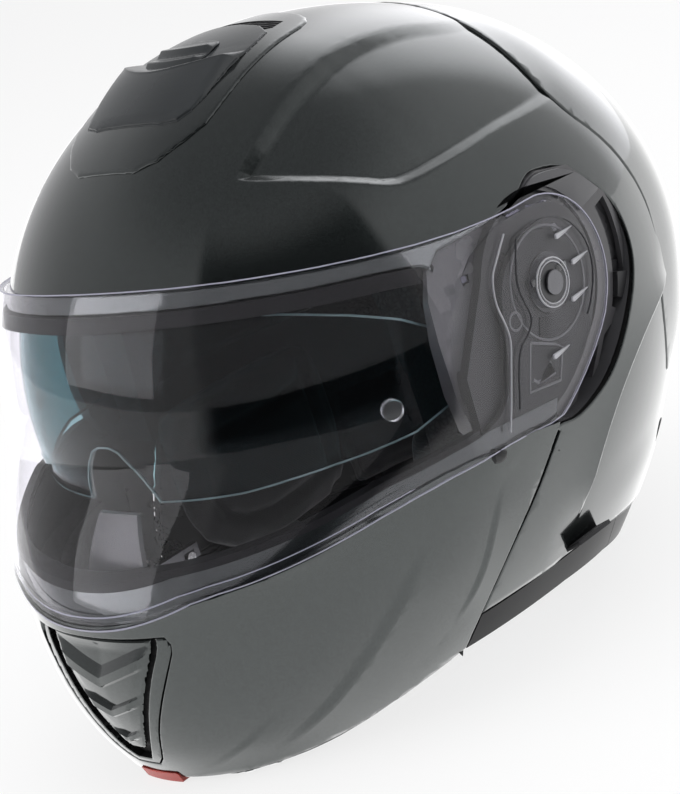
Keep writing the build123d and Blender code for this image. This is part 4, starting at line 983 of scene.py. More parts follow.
RING_IN, RING_OUT, RING_SINK = 0.0080, 0.0100, 0.0004
RING_CLEAR = clear("ring_clear", (0.90, 0.91, 0.93), 0.06, 1.49)
hub_ring = plate(ring(PIVOT, (RING_IN + RING_OUT) / 2, RING_OUT - RING_IN, 40), VISOR_OUT - RING_SINK,
                 VISOR_OUT + 0.0004, 0.0002)
LUGS = [millimetres((7.6, 148.2), (14.6, 148.6), (14.6, 151.4), (7.4, 151.8)),
        millimetres((-2.0, 148.0), (-2.0, 151.6), (-8.2, 151.2), (-8.2, 148.4))]
for lug in LUGS:
    add_to(hub_ring, plate(lug[::-1], VISOR_OUT - RING_SINK, VISOR_OUT + 0.0005, 0.0003))
both_sides(hub_ring)
piece("visor_hub_ring", hub_ring, "visor", [RING_CLEAR], ["visor"], sharp=30)

# Arm fittings: what shows through the visor's flat ends on each arm, a framed pocket with its
# latch, a catch ring and the black bumper beside it, moulded with the arm.
ARM_GREY = moulded("arm_grey", (0.12, 0.122, 0.128), 0.34, 1300.0, 0.008)
POCKET_FRAME = millimetres((-14.9, 128.1), (-1.1, 122), (2.7, 119.3), (-3.4, 107.7), (-22.4, 110.3),
                           (-14.9, 128.1))
POCKET_HOOK = millimetres((-18.9, 114.3), (-16.3, 112), (-5.4, 111.7), (-6.9, 117))
BUMPER = millimetres((-5.9, 135.2), (-8.9, 128), (-2.7, 125.4), (0.4, 132.7))
CATCH = Vector((-0.0199, 0.139))
CATCH_RADIUS, ARM_RING_RADIUS = 0.0035, 0.0225
FITTING_IN, FITTING_OUT, FITTING_BEVEL = ARM_OUT - 0.0006, ARM_OUT + 0.0001, 0.0002
fittings = bmesh.new()
for outline in (strip(POCKET_FRAME, 0.0011), strip(POCKET_HOOK, 0.0013),
                ring(CATCH, CATCH_RADIUS, 0.0010, 28), ring(PIVOT, ARM_RING_RADIUS, 0.0009, 60)):
    add_to(fittings, plate(outline, FITTING_IN, FITTING_OUT, FITTING_BEVEL))
both_sides(fittings)
piece("arm_fittings", fittings, "chin_bar", [ARM_GREY], ["chin_bar"], sharp=30)
bumpers = plate(BUMPER, FITTING_IN, ARM_OUT + 0.0002, FITTING_BEVEL)
both_sides(bumpers)
piece("arm_bumpers", bumpers, "chin_bar", [SLOT_BLACK], ["chin_bar"], sharp=30)


# Sun visor: an injection-moulded smoke lens under the shell, cut out for the nose, that swings
# down on two pins behind the brow. A lighter opaque band along its edge and round the nose cut is a painted
# highlight.
SUN_INSET, SUN_WALL, SUN_OUT, SUN_DISC = 0.0054, 0.0020, 0.1055, 0.0090
# Width of the band along the lens edge and the nose cut that gets the painted highlight finish.
SUN_HIGHLIGHT_BAND = 0.0009
SUN_PIVOT = Vector((MIDDLE, EQUATOR))
SUN_EDGE = shares([(-0.7, 0.406), (-0.371, 0.414), (-0.310, 0.427), (-0.246, 0.432), (-0.165, 0.442),
                   (-0.130, 0.447), (-0.020, 0.455)])
SUN_EDGE += [SUN_PIVOT + Vector((math.cos(a), math.sin(a))) * SUN_DISC
             for a in (math.radians(d) for d in range(-80, 81, 20))]
SUN_EDGE += shares([(-0.020, 0.523), (-0.130, 0.549), (-0.209, 0.613), (-0.313, 0.672), (-0.391, 0.697),
                    (-0.7, 0.697)])
SUN_EDGE = softened(SUN_EDGE, 1)
NOSE = millimetres((21.6, 95), (21.3, 104), (20.0, 112), (16.6, 120), (12.2, 127), (7.5, 132.4), (3, 134.2))
SMOKE = clear("sun_smoke", (0.20, 0.34, 0.36), 0.0, 1.14, 0.0)
# Painted highlight: an opaque finish, lighter than the lens seen through, for the light caught along the lens
# edge.
SMOKE_EDGE_HIGHLIGHT = moulded("smoke_edge_highlight", (0.16, 0.23, 0.24), 0.18, 300.0, 0.002, 0.1)
lens_shape = bmesh.new()
bmesh.ops.create_uvsphere(lens_shape, u_segments=160, v_segments=96, radius=1)
for vert in lens_shape.verts:
    above = form_point(Vector((vert.co.x, vert.co.y, abs(vert.co.z))), SUN_INSET)
    vert.co = Vector((above.x, above.y, EQUATOR + math.copysign(above.z - EQUATOR, vert.co.z)))
bmesh.ops.remove_doubles(lens_shape, verts=lens_shape.verts, dist=1e-5)
flatten_sides(lens_shape, SUN_OUT)
keep_faces(lens_shape, SIDE, window(-0.4, 0.09, 0.02, 0.20))
score(lens_shape, SUN_EDGE, SIDE)
score(lens_shape, moved(SUN_EDGE, SUN_HIGHLIGHT_BAND), SIDE)
nose_line = mirrored_outline(NOSE)[::-1]
score(lens_shape, nose_line[::-1], FRONT)
score(lens_shape, moved(nose_line[::-1], -SUN_HIGHLIGHT_BAND), FRONT)
keep_faces(lens_shape, SIDE, SUN_EDGE)
drop_faces(lens_shape, FRONT, [nose_line])
finish_surface(lens_shape)
lens_shape.faces.ensure_lookup_table()
middles = [f.calc_center_median() for f in lens_shape.faces]
low_gaps, _ = gaps_to(flats_of(middles, SIDE), SUN_EDGE)
nose_gaps, _ = gaps_to(flats_of(middles, FRONT), nose_line)
# Faces near the edge or the nose cut get the painted highlight finish; the rest stays clear smoke.
for face, low, near_nose in zip(lens_shape.faces, low_gaps, nose_gaps):
    face.material_index = int(min(low, near_nose) > SUN_HIGHLIGHT_BAND)
piece("sun_lens", lens_shape, "sun_visor", [SMOKE_EDGE_HIGHLIGHT, SMOKE], ["sun_visor"], SUN_WALL, sharp=30)


# Fittings kept as they are: screws, hubs, pins, seals, foam and plastics, each in its own finish.
def metal(name, colour, roughness, grain=900.0):
    """Machined or pressed steel: fine tool marks in its gloss, and a little tarnish."""
    steel, shader, spot = new_finish(name)
    marks = spot.noise(grain, 2.0)
    spot.feed(shader, {
        "Base Color": spot.noise(90.0, 4.0).blend(shade(colour, 0.8), shade(colour, 1)),
        "Roughness": marks * 0.16 + (roughness - 0.08), "Metallic": 1.0,
        "Normal": marks.relief(0.2, 0.00001)})
    return steel


def beaded(name, colour, bead=420.0):
    """Expanded foam: fused beads with dark joints between them."""
    foam, shader, spot = new_finish(name)
    rims = spot.node("ShaderNodeTexVoronoi", {"feature": "DISTANCE_TO_EDGE"}, {"Vector": spot, "Scale": bead})
    face_tone = rims.band(0.02, 0.22)
    spot.feed(shader, {
        "Base Color": face_tone.blend(shade(colour, 0.55), shade(colour, 1)),
        "Roughness": face_tone * -0.15 + 0.85, "Normal": face_tone.relief(0.25, 0.0001)})
    return foam


RUBBER = moulded("seal_rubber", (0.008, 0.008, 0.009), 0.62, 1600.0, 0.02, index=1.3)
BLACK_PLASTIC = moulded("black_plastic", (0.022, 0.022, 0.024), 0.46, 1500.0, 0.02)
SATIN_TRIM = moulded("satin_trim", (0.010, 0.010, 0.011), 0.34, 1700.0, 0.012, index=1.2)
COVER_PLASTIC = moulded("cover_plastic", (0.070, 0.069, 0.073), 0.28, 1500.0, 0.012)
DARK_STEEL = metal("dark_steel", (0.16, 0.16, 0.17), 0.30)
BRIGHT_STEEL = metal("bright_steel", (0.62, 0.62, 0.63), 0.26)
FOAM_BLACK = beaded("foam_black", (0.010, 0.010, 0.011))
SMOKE_PLASTIC = moulded("deflector_plastic", (0.035, 0.035, 0.038), 0.30, 900.0, 0.01)
RED_PLASTIC = moulded("button_red", (0.48, 0.045, 0.03), 0.38, 1300.0, 0.012, 0.12)
PIN_CLEAR = clear("pin_clear", (0.80, 0.82, 0.84), 0.10, 1.49)
PLUG_PLASTIC = moulded("plug_plastic", (0.05, 0.051, 0.054), 0.36, 1500.0, 0.012)
FINISHES = {
    RUBBER: ["brow_gasket", "chin_gasket"],
    BLACK_PLASTIC: ["sun_visor_slider", "pivot_base_left", "pivot_base_right", "strap_anchors"],
    COVER_PLASTIC: ["side_cover_left", "side_cover_right"],
    SATIN_TRIM: ["side_trim_left", "side_trim_right", "rear_trim"],
    DARK_STEEL: ["base_screws", "pivot_screws", "buckle_body", "buckle_lever", "latch_hook_left",
                 "latch_hook_right"],
    BRIGHT_STEEL: ["striker_pins", "hook_pins", "sun_visor_pins"],
    FOAM_BLACK: ["foam_liner", "chin_foam"],
    SMOKE_PLASTIC: ["breath_deflector", "strap_ladder", "visor_hubs"],
    PLUG_PLASTIC: ["rear_plugs"],
    RED_PLASTIC: ["release_button"],
    PIN_CLEAR: ["lens_pins"],
}
for finish, nodes in FINISHES.items():
    for node in nodes:
        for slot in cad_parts[node].material_slots:
            slot.material = finish


# Recess pans: the dished bays behind the pivots, where the shell's wall drops to a flat floor for
# the arms and covers. They are part of the shell's moulding, in its bare grey plastic.
PAN_FLOOR = 0.1104
PAN_OVERLAP = 0.0004
PAN_TUCK = 0.0016
pan_line = moved(RECESS_LINE, -PAN_OVERLAP, True)
pans = bmesh.new()
corners = []
for spot in pan_line:
    reach = max(side_reach(spot.x, spot.y, PAN_TUCK), PAN_FLOOR + 0.0002)
    corners += bmesh.ops.create_vert(pans, co=(reach, spot.x, spot.y))["vert"]
rim = [edge for pair in zip(corners, corners[1:] + corners[:1])
       for edge in bmesh.ops.contextual_create(pans, geom=pair)["edges"]]
low_rim = bmesh.ops.extrude_edge_only(pans, edges=rim)["geom"]
for vert in [item for item in low_rim if isinstance(item, bmesh.types.BMVert)]:
    vert.co.x = PAN_FLOOR
floor_edges = [item for item in low_rim if isinstance(item, bmesh.types.BMEdge)
               and all(abs(v.co.x - PAN_FLOOR) < 1e-7 for v in item.verts)]
bmesh.ops.edgeloop_fill(pans, edges=floor_edges)
bmesh.ops.recalc_face_normals(pans, faces=pans.faces)
both_sides(pans)
for face in pans.faces:
    if (face.calc_center_median().x > 0) != (face.normal.x > 0) and abs(face.normal.x) > 0.9:
        face.normal_flip()
RECESS_GREY = moulded("recess_grey", (0.085, 0.085, 0.090), 0.26, 1500.0, 0.01)
piece("recess_pans", pans, "shell", [RECESS_GREY], ["outer_shell"], sharp=30)

# Recess trims: a flat moulded panel over the top of each bay, cut round behind the pivot, and two
# slanting ribs below it.
TRIM_BACK, TRIM_FRONT = 0.1148, 0.1160
TRIM_GAP, TRIM_ROOM = 0.0012, 0.0380
trim_turns = [math.radians(a) for a in range(28, 124, 8)]
trim_inner = [PIVOT + Vector((math.cos(a), math.sin(a))) * TRIM_ROOM for a in trim_turns]
trim_edge = moved(RECESS_LINE, TRIM_GAP, True)
if not within(np.array([tuple(p) for p in trim_edge]), RECESS_LINE).all():
    trim_edge = moved(RECESS_LINE, -TRIM_GAP, True)
first, last = (min(range(len(trim_edge)), key=lambda i: (trim_edge[i] - end).length)
               for end in (trim_inner[0] + Vector((0.020, 0.006)), trim_inner[-1] + Vector((-0.002, 0.003))))
step = 1 if (last - first) % len(trim_edge) < (first - last) % len(trim_edge) else -1
count = ((last - first) * step) % len(trim_edge)
trim_outer = [trim_edge[(first + step * i) % len(trim_edge)] for i in range(count + 1)]
trim_outline = trim_outer + list(reversed(trim_inner))
trims = plate(trim_outline if step > 0 else trim_outline[::-1], TRIM_BACK, TRIM_FRONT, 0.0004)
TRIM_RIBS = [millimetres((50.0, 112.5), (38.5, 108.0)), millimetres((35.5, 98.5), (24.0, 96.5))]
TRIM_RIB_WIDTH = 0.0030
for rib in TRIM_RIBS:
    add_to(trims, plate(strip(rib, TRIM_RIB_WIDTH), PAN_FLOOR, TRIM_FRONT, 0.0005))
both_sides(trims)
piece("recess_trims", trims, "shell", [RECESS_GREY], ["outer_shell"], sharp=30)


# Rear cover: a second lacquered skin over the back of the shell. It starts flush behind the
# recess, rises two millimetres off the shell, and closes on a dark joint line.
REAR_EDGE = softened(shares([(0.7, 0.218), (0.250, 0.248), (0.232, 0.338), (0.229, 0.425), (0.255, 0.523),
                             (0.258, 0.590), (0.232, 0.673), (0.174, 0.760), (0.180, 0.835),
                             (0.203, 1.06)]), 2)
REAR_LOW, REAR_STAND, REAR_RAMP = 0.0005, 0.0020, 0.028
REAR_WALL, REAR_ROLL = 0.0016, 0.0012
behind = REAR_EDGE + [Vector((0.4, 0.282)), Vector((0.4, 0.058))]
cover = form_ball(-REAR_LOW)
keep_faces(cover, SIDE, window(0.04, 0.03, 0.4, 0.4))
cover_line = REAR_EDGE[::-1]
score_edge(cover, cover_line, SIDE, False, REAR_ROLL)
keep_faces(cover, SIDE, behind)
cover.normal_update()
for vert, gap in gaps_of(cover, cover_line, SIDE):
    vert.co += vert.normal * (REAR_STAND - REAR_LOW) * eased(min(gap / REAR_RAMP, 1))
roll_edge(cover, cover_line, SIDE, False, REAR_ROLL)
finish_surface(cover)
piece("rear_cover_skin", cover, "shell", [SHELL_PAINT, SHELL_INSIDE], ["rear_cover"], REAR_WALL)


# Top vent: a lacquered base plate on the crown with a ribbed grille, a raised scoop with an air
# mouth, and the shutter that slides along a channel in it.
VENT_PLATE = [Vector(p) for p in ((0, -0.0965), (0.0225, -0.0955), (0.0395, -0.0760), (0.0410, -0.0620),
                                  (0.0395, -0.0400), (0.0365, -0.0170), (0.0330, 0.0015), (0.0265, 0.0085),
                                  (0.0100, 0.0125), (0, 0.0130))]
SCOOP = [Vector(p) for p in ((0, -0.0790), (0.0255, -0.0775), (0.0325, -0.0675), (0.0330, -0.0460),
                             (0.0310, -0.0280), (0.0260, -0.0120), (0, -0.0090))]
SHUTTER = [Vector(p) for p in ((0, -0.0515), (0.0150, -0.0505), (0.0165, -0.0455), (0.0160, -0.0330),
                               (0.0130, -0.0290), (0, -0.0285))]
PLATE_STAND = 0.0010


def crown_patch(stand, outline, fine):
    """The form's crown inside a plan outline, at a height over it, divided finely."""
    shape = form_ball(-stand)
    keep_faces(shape, SIDE, window(-0.4, 0.19, 0.4, 0.4))
    keep_faces(shape, PLAN, moved(outline, -0.010, True))
    bmesh.ops.subdivide_edges(shape, edges=shape.edges[:], cuts=fine, use_grid_fill=True)
    return shape


def mirrored_plan(half):
    """A closed plan outline from its half with positive x, turned to the left."""
    return half + [Vector((-p.x, p.y)) for p in reversed(half) if p.x > 0]


VENT_LACQUER = lacquer("vent_lacquer", (0.020, 0.024, 0.024), (0.044, 0.052, 0.052))
VENT_GLOSS = moulded("vent_gloss", (0.030, 0.033, 0.035), 0.20, 1500.0, 0.004)
plate_line = softened(mirrored_plan(VENT_PLATE), 1, True)
GRILLE = [Vector(p) for p in ((0, -0.0165), (0.0225, -0.0150), (0.0255, -0.0110), (0.0235, -0.0020),
                              (0, -0.0040))]
GRILLE_BARS, BAR_START, BAR_PITCH, BAR_HALF = 5, -0.0160, 0.0012, 0.026
PLATE_ROLL, SCOOP_ROLL, SHUTTER_ROLL = 0.0012, 0.0008, 0.0006
grille_line = mirrored_plan(GRILLE)
vent_plate = crown_patch(PLATE_STAND, plate_line, 1)
score_edge(vent_plate, plate_line, PLAN, True, PLATE_ROLL)
score(vent_plate, grille_line, PLAN, True)
score(vent_plate, moved(grille_line, 0.0004, True), PLAN, True)
for i in range(2 * GRILLE_BARS + 2):
    step = BAR_START + BAR_PITCH * i
    score(vent_plate, [Vector((-BAR_HALF, step)), Vector((BAR_HALF, step))], PLAN)
keep_faces(vent_plate, PLAN, plate_line)
vent_plate.normal_update()
plate_verts = list(vent_plate.verts)
in_grille = within(flats_of([v.co for v in plate_verts], PLAN), moved(grille_line, 0.0003, True))
for vert, sunk in zip(plate_verts, in_grille):
    if sunk:
        between = int((vert.co.y - BAR_START) / BAR_PITCH + 0.01) % 2
        vert.co -= vert.normal * (0.0011 if between else 0.0003)
roll_edge(vent_plate, plate_line, PLAN, True, PLATE_ROLL)
finish_surface(vent_plate)
second_finish(vent_plate, grille_line, PLAN)
piece("vent_plate", vent_plate, "shell", [VENT_LACQUER, SLOT_BLACK], ["top_vent_base"], 0.0009, sharp=30)

# The scoop's relief: it climbs from its front edge to a bowed crest, drops behind it into the air
# mouth, and runs out flat; the shutter's two scallops stand in that hollow.
scoop_line = softened(mirrored_plan(SCOOP), 1, True)
scoop = crown_patch(PLATE_STAND + 0.0003, scoop_line, 2)
score_edge(scoop, scoop_line, PLAN, True, SCOOP_ROLL)
for share in (2, 4, 7):
    score(scoop, moved(scoop_line, 0.0010 * share, True), PLAN, True)
SCOOP_LEVELS = [(-0.0800, 0.0012), (-0.0560, 0.0044), (-0.0552, 0.0047), (-0.0540, 0.0042),
                (-0.0470, 0.0006), (-0.0400, 0.0004), (-0.0100, 0.0004)]
SCOOP_BASE, SCOOP_SLOPE = 0.0004, 0.0045
BOW = 0.0180
for station, _ in SCOOP_LEVELS[1:6]:
    arch = [Vector((x / 1000, station + BOW * (x / 36) ** 2)) for x in range(-36, 37, 4)]
    score(scoop, arch, PLAN)
keep_faces(scoop, PLAN, scoop_line)
scoop.normal_update()
stations, rises = zip(*SCOOP_LEVELS)
for vert, gap in gaps_of(scoop, scoop_line, PLAN, True):
    station = vert.co.y - BOW * (vert.co.x / 0.036) ** 2
    side = min(gap / SCOOP_SLOPE, 1)
    rise = np.interp(station, stations, rises)
    vert.co += vert.normal * (SCOOP_BASE + (rise - SCOOP_BASE) * side * (2 - side))
roll_edge(scoop, scoop_line, PLAN, True, SCOOP_ROLL)
finish_surface(scoop)
piece("vent_scoop", scoop, "shell", [VENT_GLOSS, SLOT_BLACK], ["top_vent_scoop"], 0.0010, sharp=26)

SCALLOPS = [(-0.0520, 0.0), (-0.0480, 0.0002), (-0.0446, 0.0019), (-0.0438, 0.0019), (-0.0404, 0.0003),
            (-0.0392, 0.0003), (-0.0358, 0.0021), (-0.0350, 0.0020), (-0.0300, 0.0002), (-0.0280, 0.0)]
SCALLOP_BOW, SHUTTER_STAND, SHUTTER_SLOPE = 0.0030, 0.0024, 0.0025
shutter_line = softened(mirrored_plan(SHUTTER), 1, True)
shutter = crown_patch(SHUTTER_STAND, shutter_line, 2)
score_edge(shutter, shutter_line, PLAN, True, SHUTTER_ROLL)
for station, _ in SCALLOPS[1:9]:
    arch = [Vector((x / 1000, station - SCALLOP_BOW * (1 - (x / 17) ** 2))) for x in range(-18, 19, 3)]
    score(shutter, arch, PLAN)
keep_faces(shutter, PLAN, shutter_line)
shutter.normal_update()
stations, rises = zip(*SCALLOPS)
for vert, gap in gaps_of(shutter, shutter_line, PLAN, True):
    station = vert.co.y + SCALLOP_BOW * (1 - (vert.co.x / 0.017) ** 2)
    vert.co += vert.normal * (np.interp(station, stations, rises) * min(gap / SHUTTER_SLOPE, 1))
roll_edge(shutter, shutter_line, PLAN, True, SHUTTER_ROLL)
finish_surface(shutter)
piece("vent_shutter", shutter, "top_vent_shutter", [VENT_GLOSS, SLOT_BLACK], ["top_vent_shutter"],
      0.0006, sharp=26)


# Comfort padding: crown liner, cheek pads and neck roll, soft foam sewn into black knit, with
# quilted channels. Each starts as a slightly smaller body, is blown up as cloth and held by a cap.
def knit(name, colour, pitch=0.0011):
    """Knitted lining: small loops in rows, worn tone and soft sheen."""
    cloth, shader, spot = new_finish(name)
    rows, runs = ((spot.part(i) * (2 * math.pi / pitch)).wave() for i in (2, 1))
    loops = rows * runs
    cloud = spot.noise(30.0, 4.0)
    spot.feed(shader, {
        "Base Color": (loops * 0.25 + cloud).blend(shade(colour, 0.7), shade(colour, 1.4)),
        "Roughness": cloud * 0.1 + 0.82, "Sheen Weight": 0.25, "Normal": loops.relief(0.4, 0.0002)})
    return cloth


def blown(shape, cap, seams, voxel=0.005, pressure=4.0):
    """A pad: the shape remeshed, swelled as cloth under pressure, held within a cap, and its seams sunk."""
    mesh = bpy.data.meshes.new("pad")
    shape.to_mesh(mesh)
    shape.free()
    pad = bpy.data.objects.new("pad", mesh)
    bpy.context.collection.objects.link(pad)
    remesh = pad.modifiers.new("remesh", "REMESH")
    remesh.mode = "VOXEL"
    remesh.voxel_size = voxel
    graph = bpy.context.evaluated_depsgraph_get()
    even = bpy.data.meshes.new_from_object(pad.evaluated_get(graph))
    pad.modifiers.clear()
    pad.data = even
    before = np.array([v.co[:] for v in even.vertices])
    after = before
    cloth = pad.modifiers.new("cloth", "CLOTH")
    cloth.settings.use_pressure = True
    cloth.settings.uniform_pressure_force = pressure
    cloth.settings.effector_weights.gravity = 0
    cloth.point_cache.frame_start, cloth.point_cache.frame_end = 1, 20
    for step in range(1, 21):
        bpy.context.scene.frame_set(step)
    graph = bpy.context.evaluated_depsgraph_get()
    swelled = pad.evaluated_get(graph).to_mesh()
    after = np.array([v.co[:] for v in swelled.vertices])
    pad.evaluated_get(graph).to_mesh_clear()
    pad.modifiers.clear()
    bpy.context.scene.frame_set(1)
    moves = after - before
    sizes = np.linalg.norm(moves, axis=1)
    moves = moves * np.minimum(cap / np.maximum(sizes, 1e-9), 1)[:, None]
    swell = bmesh.new()
    swell.from_mesh(even)
    for vert, move in zip(swell.verts, moves):
        vert.co += Vector(move)
    bmesh.ops.subdivide_edges(swell, edges=swell.edges[:], cuts=1, use_grid_fill=True, smooth=1.0)
    swell.normal_update()
    for view, line, closed, depth, width, inner in seams:
        for vert, gap in gaps_of(swell, line, view, closed):
            if gap < 2 * width and inner(vert):
                vert.co -= vert.normal * depth * math.exp(-(gap / width) ** 2)
    bpy.data.objects.remove(pad)
    return swell


KNIT_BLACK = knit("knit_black", (0.008, 0.008, 0.009))
KNIT_GREY = knit("knit_grey", (0.014, 0.0145, 0.0155), 0.0014)
FOAM_INSET = 0.10435 * LENGTH + 0.0003
CAVITY_TUCK = 0.35
CROWN_WALL, CROWN_LOW = 0.008, 0.425 * HEIGHT
PAD_SHRINK = 0.0012
crown_pad = form_ball(FOAM_INSET + PAD_SHRINK, 96, 60, CAVITY_TUCK)
port_grown = moved(PORT, 0.0062)
port_area = port_grown + [Vector((-0.4, -0.1))]
bmesh.ops.bisect_plane(crown_pad, geom=crown_pad.faces[:] + crown_pad.edges[:] + crown_pad.verts[:],
                       plane_co=(0, 0, CROWN_LOW + PAD_SHRINK), plane_no=(0, 0, 1), clear_inner=True)
score(crown_pad, port_grown, SIDE)
drop_faces(crown_pad, SIDE, [port_area])
bmesh.ops.recalc_face_normals(crown_pad, faces=crown_pad.faces)
bmesh.ops.solidify(crown_pad, geom=crown_pad.faces[:], thickness=-(CROWN_WALL - 2 * PAD_SHRINK))


def faces_in(vert):
    """Whether the lining faces the head here."""
    return vert.normal.dot(vert.co - Vector((0, MIDDLE, EQUATOR))) < 0


CROWN_SEAMS = [(FRONT, [Vector((x * s, z)) for x, z in ((0.030, 0.10), (0.026, 0.20), (0.020, 0.26))],
                False, 0.0022, 0.0030, faces_in) for s in (-1, 1)]
CROWN_SEAMS += [(SIDE, [Vector((-0.2, z)), Vector((0.2, z))], False, 0.0020, 0.0028, faces_in)
                for z in (0.145, 0.185)]
crown_pad = blown(crown_pad, 0.0016, CROWN_SEAMS, 0.0035)
crown_piece = piece("crown_padding", crown_pad, "shell", [KNIT_BLACK], ["crown_liner"], sharp=180)

PAD_OUTLINE = shares([(-0.145, 0.115), (0.130, 0.115), (0.145, 0.170), (0.145, 0.390), (0.115, 0.405),
                      (-0.130, 0.405), (-0.145, 0.360)])
PAD_CROWN = Vector((0.235 * WIDTH + 0.130, 0, 0.255 * HEIGHT))
PAD_CROWN_RADIUS = 0.130
for name, side in (("left", 1), ("right", -1)):
    pad_outline = softened(moved(PAD_OUTLINE, 0.002, True), 2, True)
    cheek = plate(pad_outline, 0.05, 0.10, 0)
    bmesh.ops.subdivide_edges(cheek, edges=cheek.edges[:], cuts=3, use_grid_fill=True)
    bmesh.ops.triangulate(cheek, faces=[f for f in cheek.faces if len(f.verts) > 4])
    for _ in range(4):
        long_edges = [e for e in cheek.edges if e.calc_length() > 0.008]
        if long_edges:
            bmesh.ops.subdivide_edges(cheek, edges=long_edges, cuts=1)
            bmesh.ops.triangulate(cheek, faces=[f for f in cheek.faces if len(f.verts) > 3])
    for vert in cheek.verts:
        y, z = vert.co.y, vert.co.z
        outer = side_reach(y, z, FOAM_INSET + PAD_SHRINK, CAVITY_TUCK)
        bulge = PAD_CROWN_RADIUS**2 - y**2 - (z - PAD_CROWN.z) ** 2
        inner = PAD_CROWN.x - math.sqrt(bulge) + PAD_SHRINK
        share = held((vert.co.x - 0.05) / 0.05)
        vert.co.x = (inner + (outer - inner) * share) * side
    bmesh.ops.recalc_face_normals(cheek, faces=cheek.faces)
    seam = softened(moved(PAD_OUTLINE, 0.017, True), 2, True)
    facing_in = (lambda side: lambda vert: vert.normal.x * side < -0.2)(side)
    cheek = blown(cheek, 0.0016, [(SIDE, seam, True, 0.0030, 0.0026, facing_in)], 0.0038)
    cheek_piece = piece(f"cheek_padding_{name}", cheek, "shell", [KNIT_GREY], [f"cheek_pad_{name}"],
                        sharp=180)

ROLL_WALL, ROLL_LOW, ROLL_HIGH, ROLL_FRONT = 0.015, 0.100 * HEIGHT, 0.290 * HEIGHT, 0.160 * LENGTH
roll = form_ball(FOAM_INSET + PAD_SHRINK, 96, 72, CAVITY_TUCK)
for place, away in (((0, 0, ROLL_LOW + PAD_SHRINK), (0, 0, 1)), ((0, 0, ROLL_HIGH - PAD_SHRINK), (0, 0, -1)),
                    ((0, ROLL_FRONT + PAD_SHRINK, 0), (0, 1, 0))):
    bmesh.ops.bisect_plane(roll, geom=roll.faces[:] + roll.edges[:] + roll.verts[:], plane_co=place,
                           plane_no=away, clear_inner=True)
bmesh.ops.recalc_face_normals(roll, faces=roll.faces)
bmesh.ops.solidify(roll, geom=roll.faces[:], thickness=-(ROLL_WALL - 2 * PAD_SHRINK))
roll_mid = (ROLL_LOW + ROLL_HIGH) / 2
roll = blown(roll, 0.0016, [(SIDE, [Vector((-0.2, roll_mid)), Vector((0.3, roll_mid))], False, 0.0035, 0.0040,
                             lambda vert: True)], 0.0038)
roll_piece = piece("neck_padding", roll, "shell", [KNIT_BLACK], ["neck_roll"], sharp=180)


# Chin strap: two lengths of woven webbing, bartacked to plates on the shell, that meet under the
# chin in a steel ratchet buckle, shown closed. Each is a flat ribbon on one smooth bend, and the
# right one runs on through the buckle's body.
STRAP_WIDTH, STRAP_THICK = 0.0220, 0.0017
STRAP_Y = 0.020 * LENGTH
STRAP_TOP = Vector((0.1069, 0.0359))
STRAP_KNEE = Vector((0.247 * WIDTH, 0.058 * HEIGHT))
STRAP_FLAT = Vector((0.135 * WIDTH, 0.036 * HEIGHT))
STRAP_ENDS = {"left": 0.0220, "right": -0.0132}
EDGE_ROUND = 0.0005
WEAVE_PITCH = 0.0016


def webbing(name, colour, pitch):
    """Woven strap: slanting picks across the ribbon, some wear, and a dull sheen."""
    cloth, shader, spot = new_finish(name)
    picks = ((spot.part(0) + spot.part(1) * 0.6) * (2 * math.pi / pitch)).wave()
    ribs = (spot.part(1) * (2 * math.pi / (pitch * 1.4))).wave()
    weave = picks * ribs * 0.5 + 0.5
    wear = spot.noise(45.0, 4.0)
    spot.feed(shader, {
        "Base Color": (weave * 0.6 + wear * 0.4).blend(shade(colour, 0.55), shade(colour, 1.5)),
        "Roughness": wear * 0.15 + 0.7, "Sheen Weight": 0.2, "Normal": weave.relief(0.6, 0.0002)})
    return cloth


WEBBING = webbing("strap_webbing", (0.018, 0.018, 0.020), WEAVE_PITCH)


def ribbon_path(points, bend, steps=10):
    """A line with its inner corners rounded by arcs of even radius."""
    line = [points[0]]
    for before, corner, after in zip(points, points[1:], points[2:]):
        to_before, to_after = (before - corner).normalized(), (after - corner).normalized()
        half = math.acos(max(min(to_before.dot(to_after), 1), -1)) / 2
        reach = min(bend / math.tan(half), (before - corner).length * 0.49, (after - corner).length * 0.49)
        start, end = corner + to_before * reach, corner + to_after * reach
        shares_along = [i / steps for i in range(steps + 1)]
        line += [start.lerp(corner, t).lerp(corner.lerp(end, t), t) for t in shares_along]
    return line + [points[-1]]


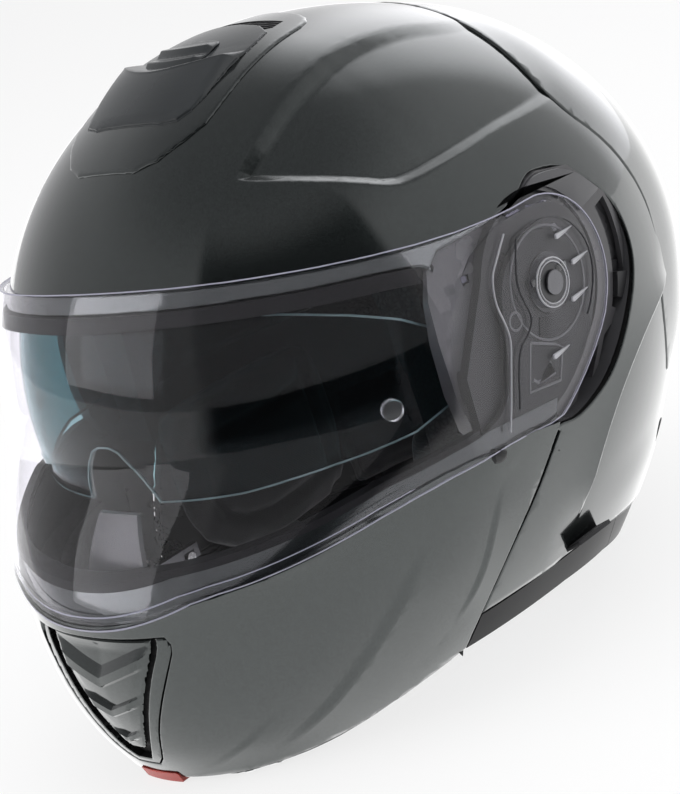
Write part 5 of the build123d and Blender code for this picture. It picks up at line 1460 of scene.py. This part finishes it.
for name, side in (("left", 1), ("right", -1)):
    end = Vector((STRAP_ENDS[name], STRAP_FLAT.y))
    route = ribbon_path([STRAP_TOP, STRAP_KNEE, STRAP_FLAT, end], 0.030)
    outline = strip(route, STRAP_THICK)
    if side < 0:
        outline = [Vector((-p.x, p.y)) for p in reversed(outline)]
    ribbon = plate(outline, STRAP_Y + STRAP_WIDTH / 2, STRAP_Y - STRAP_WIDTH / 2, EDGE_ROUND, FRONT)
    low = STRAP_Y + STRAP_WIDTH / 2
    low_edges = [e for e in ribbon.edges if all(abs(v.co.y - low) < 1e-6 for v in e.verts)]
    bmesh.ops.bevel(ribbon, geom=low_edges, offset=EDGE_ROUND, segments=2, profile=0.5, affect="EDGES",
                    material=-1)
    piece(f"strap_webbing_{name}", ribbon, "shell", [WEBBING], [f"strap_{name}"], sharp=50)

STITCH_LENGTH, STITCH_GAP, STITCH_ROWS, STITCHES = 0.0022, 0.0012, 3, 5
stitches = bmesh.new()
for side in (1, -1):
    run = (STRAP_KNEE - STRAP_TOP).normalized()
    away = Vector((-run.y, run.x))
    for row in range(STITCH_ROWS):
        for i in range(STITCHES):
            middle = STRAP_TOP + run * (0.0055 + row * 0.0030) - away * (STRAP_THICK / 2)
            across_y = STRAP_Y - 0.0075 + i * (STITCH_LENGTH + STITCH_GAP) + STITCH_LENGTH / 2
            stitch = bmesh.new()
            bmesh.ops.create_cube(stitch, size=1)
            bmesh.ops.scale(stitch, vec=(0.0006, STITCH_LENGTH, 0.0004), verts=stitch.verts)
            bmesh.ops.bevel(stitch, geom=stitch.edges[:], offset=0.00012, segments=1, profile=0.5,
                            affect="EDGES", material=-1)
            turn = Matrix.Rotation(-math.atan2(run.y, run.x), 4, "Y")
            bmesh.ops.transform(stitch, matrix=turn, verts=stitch.verts)
            bmesh.ops.translate(stitch, vec=(side * middle.x, across_y, middle.y), verts=stitch.verts)
            add_to(stitches, stitch)
bmesh.ops.recalc_face_normals(stitches, faces=stitches.faces)
THREAD = webbing("strap_thread", (0.05, 0.05, 0.055), 0.0006)
piece("strap_stitches", stitches, "shell", [THREAD], ["strap_left", "strap_right"], sharp=50)
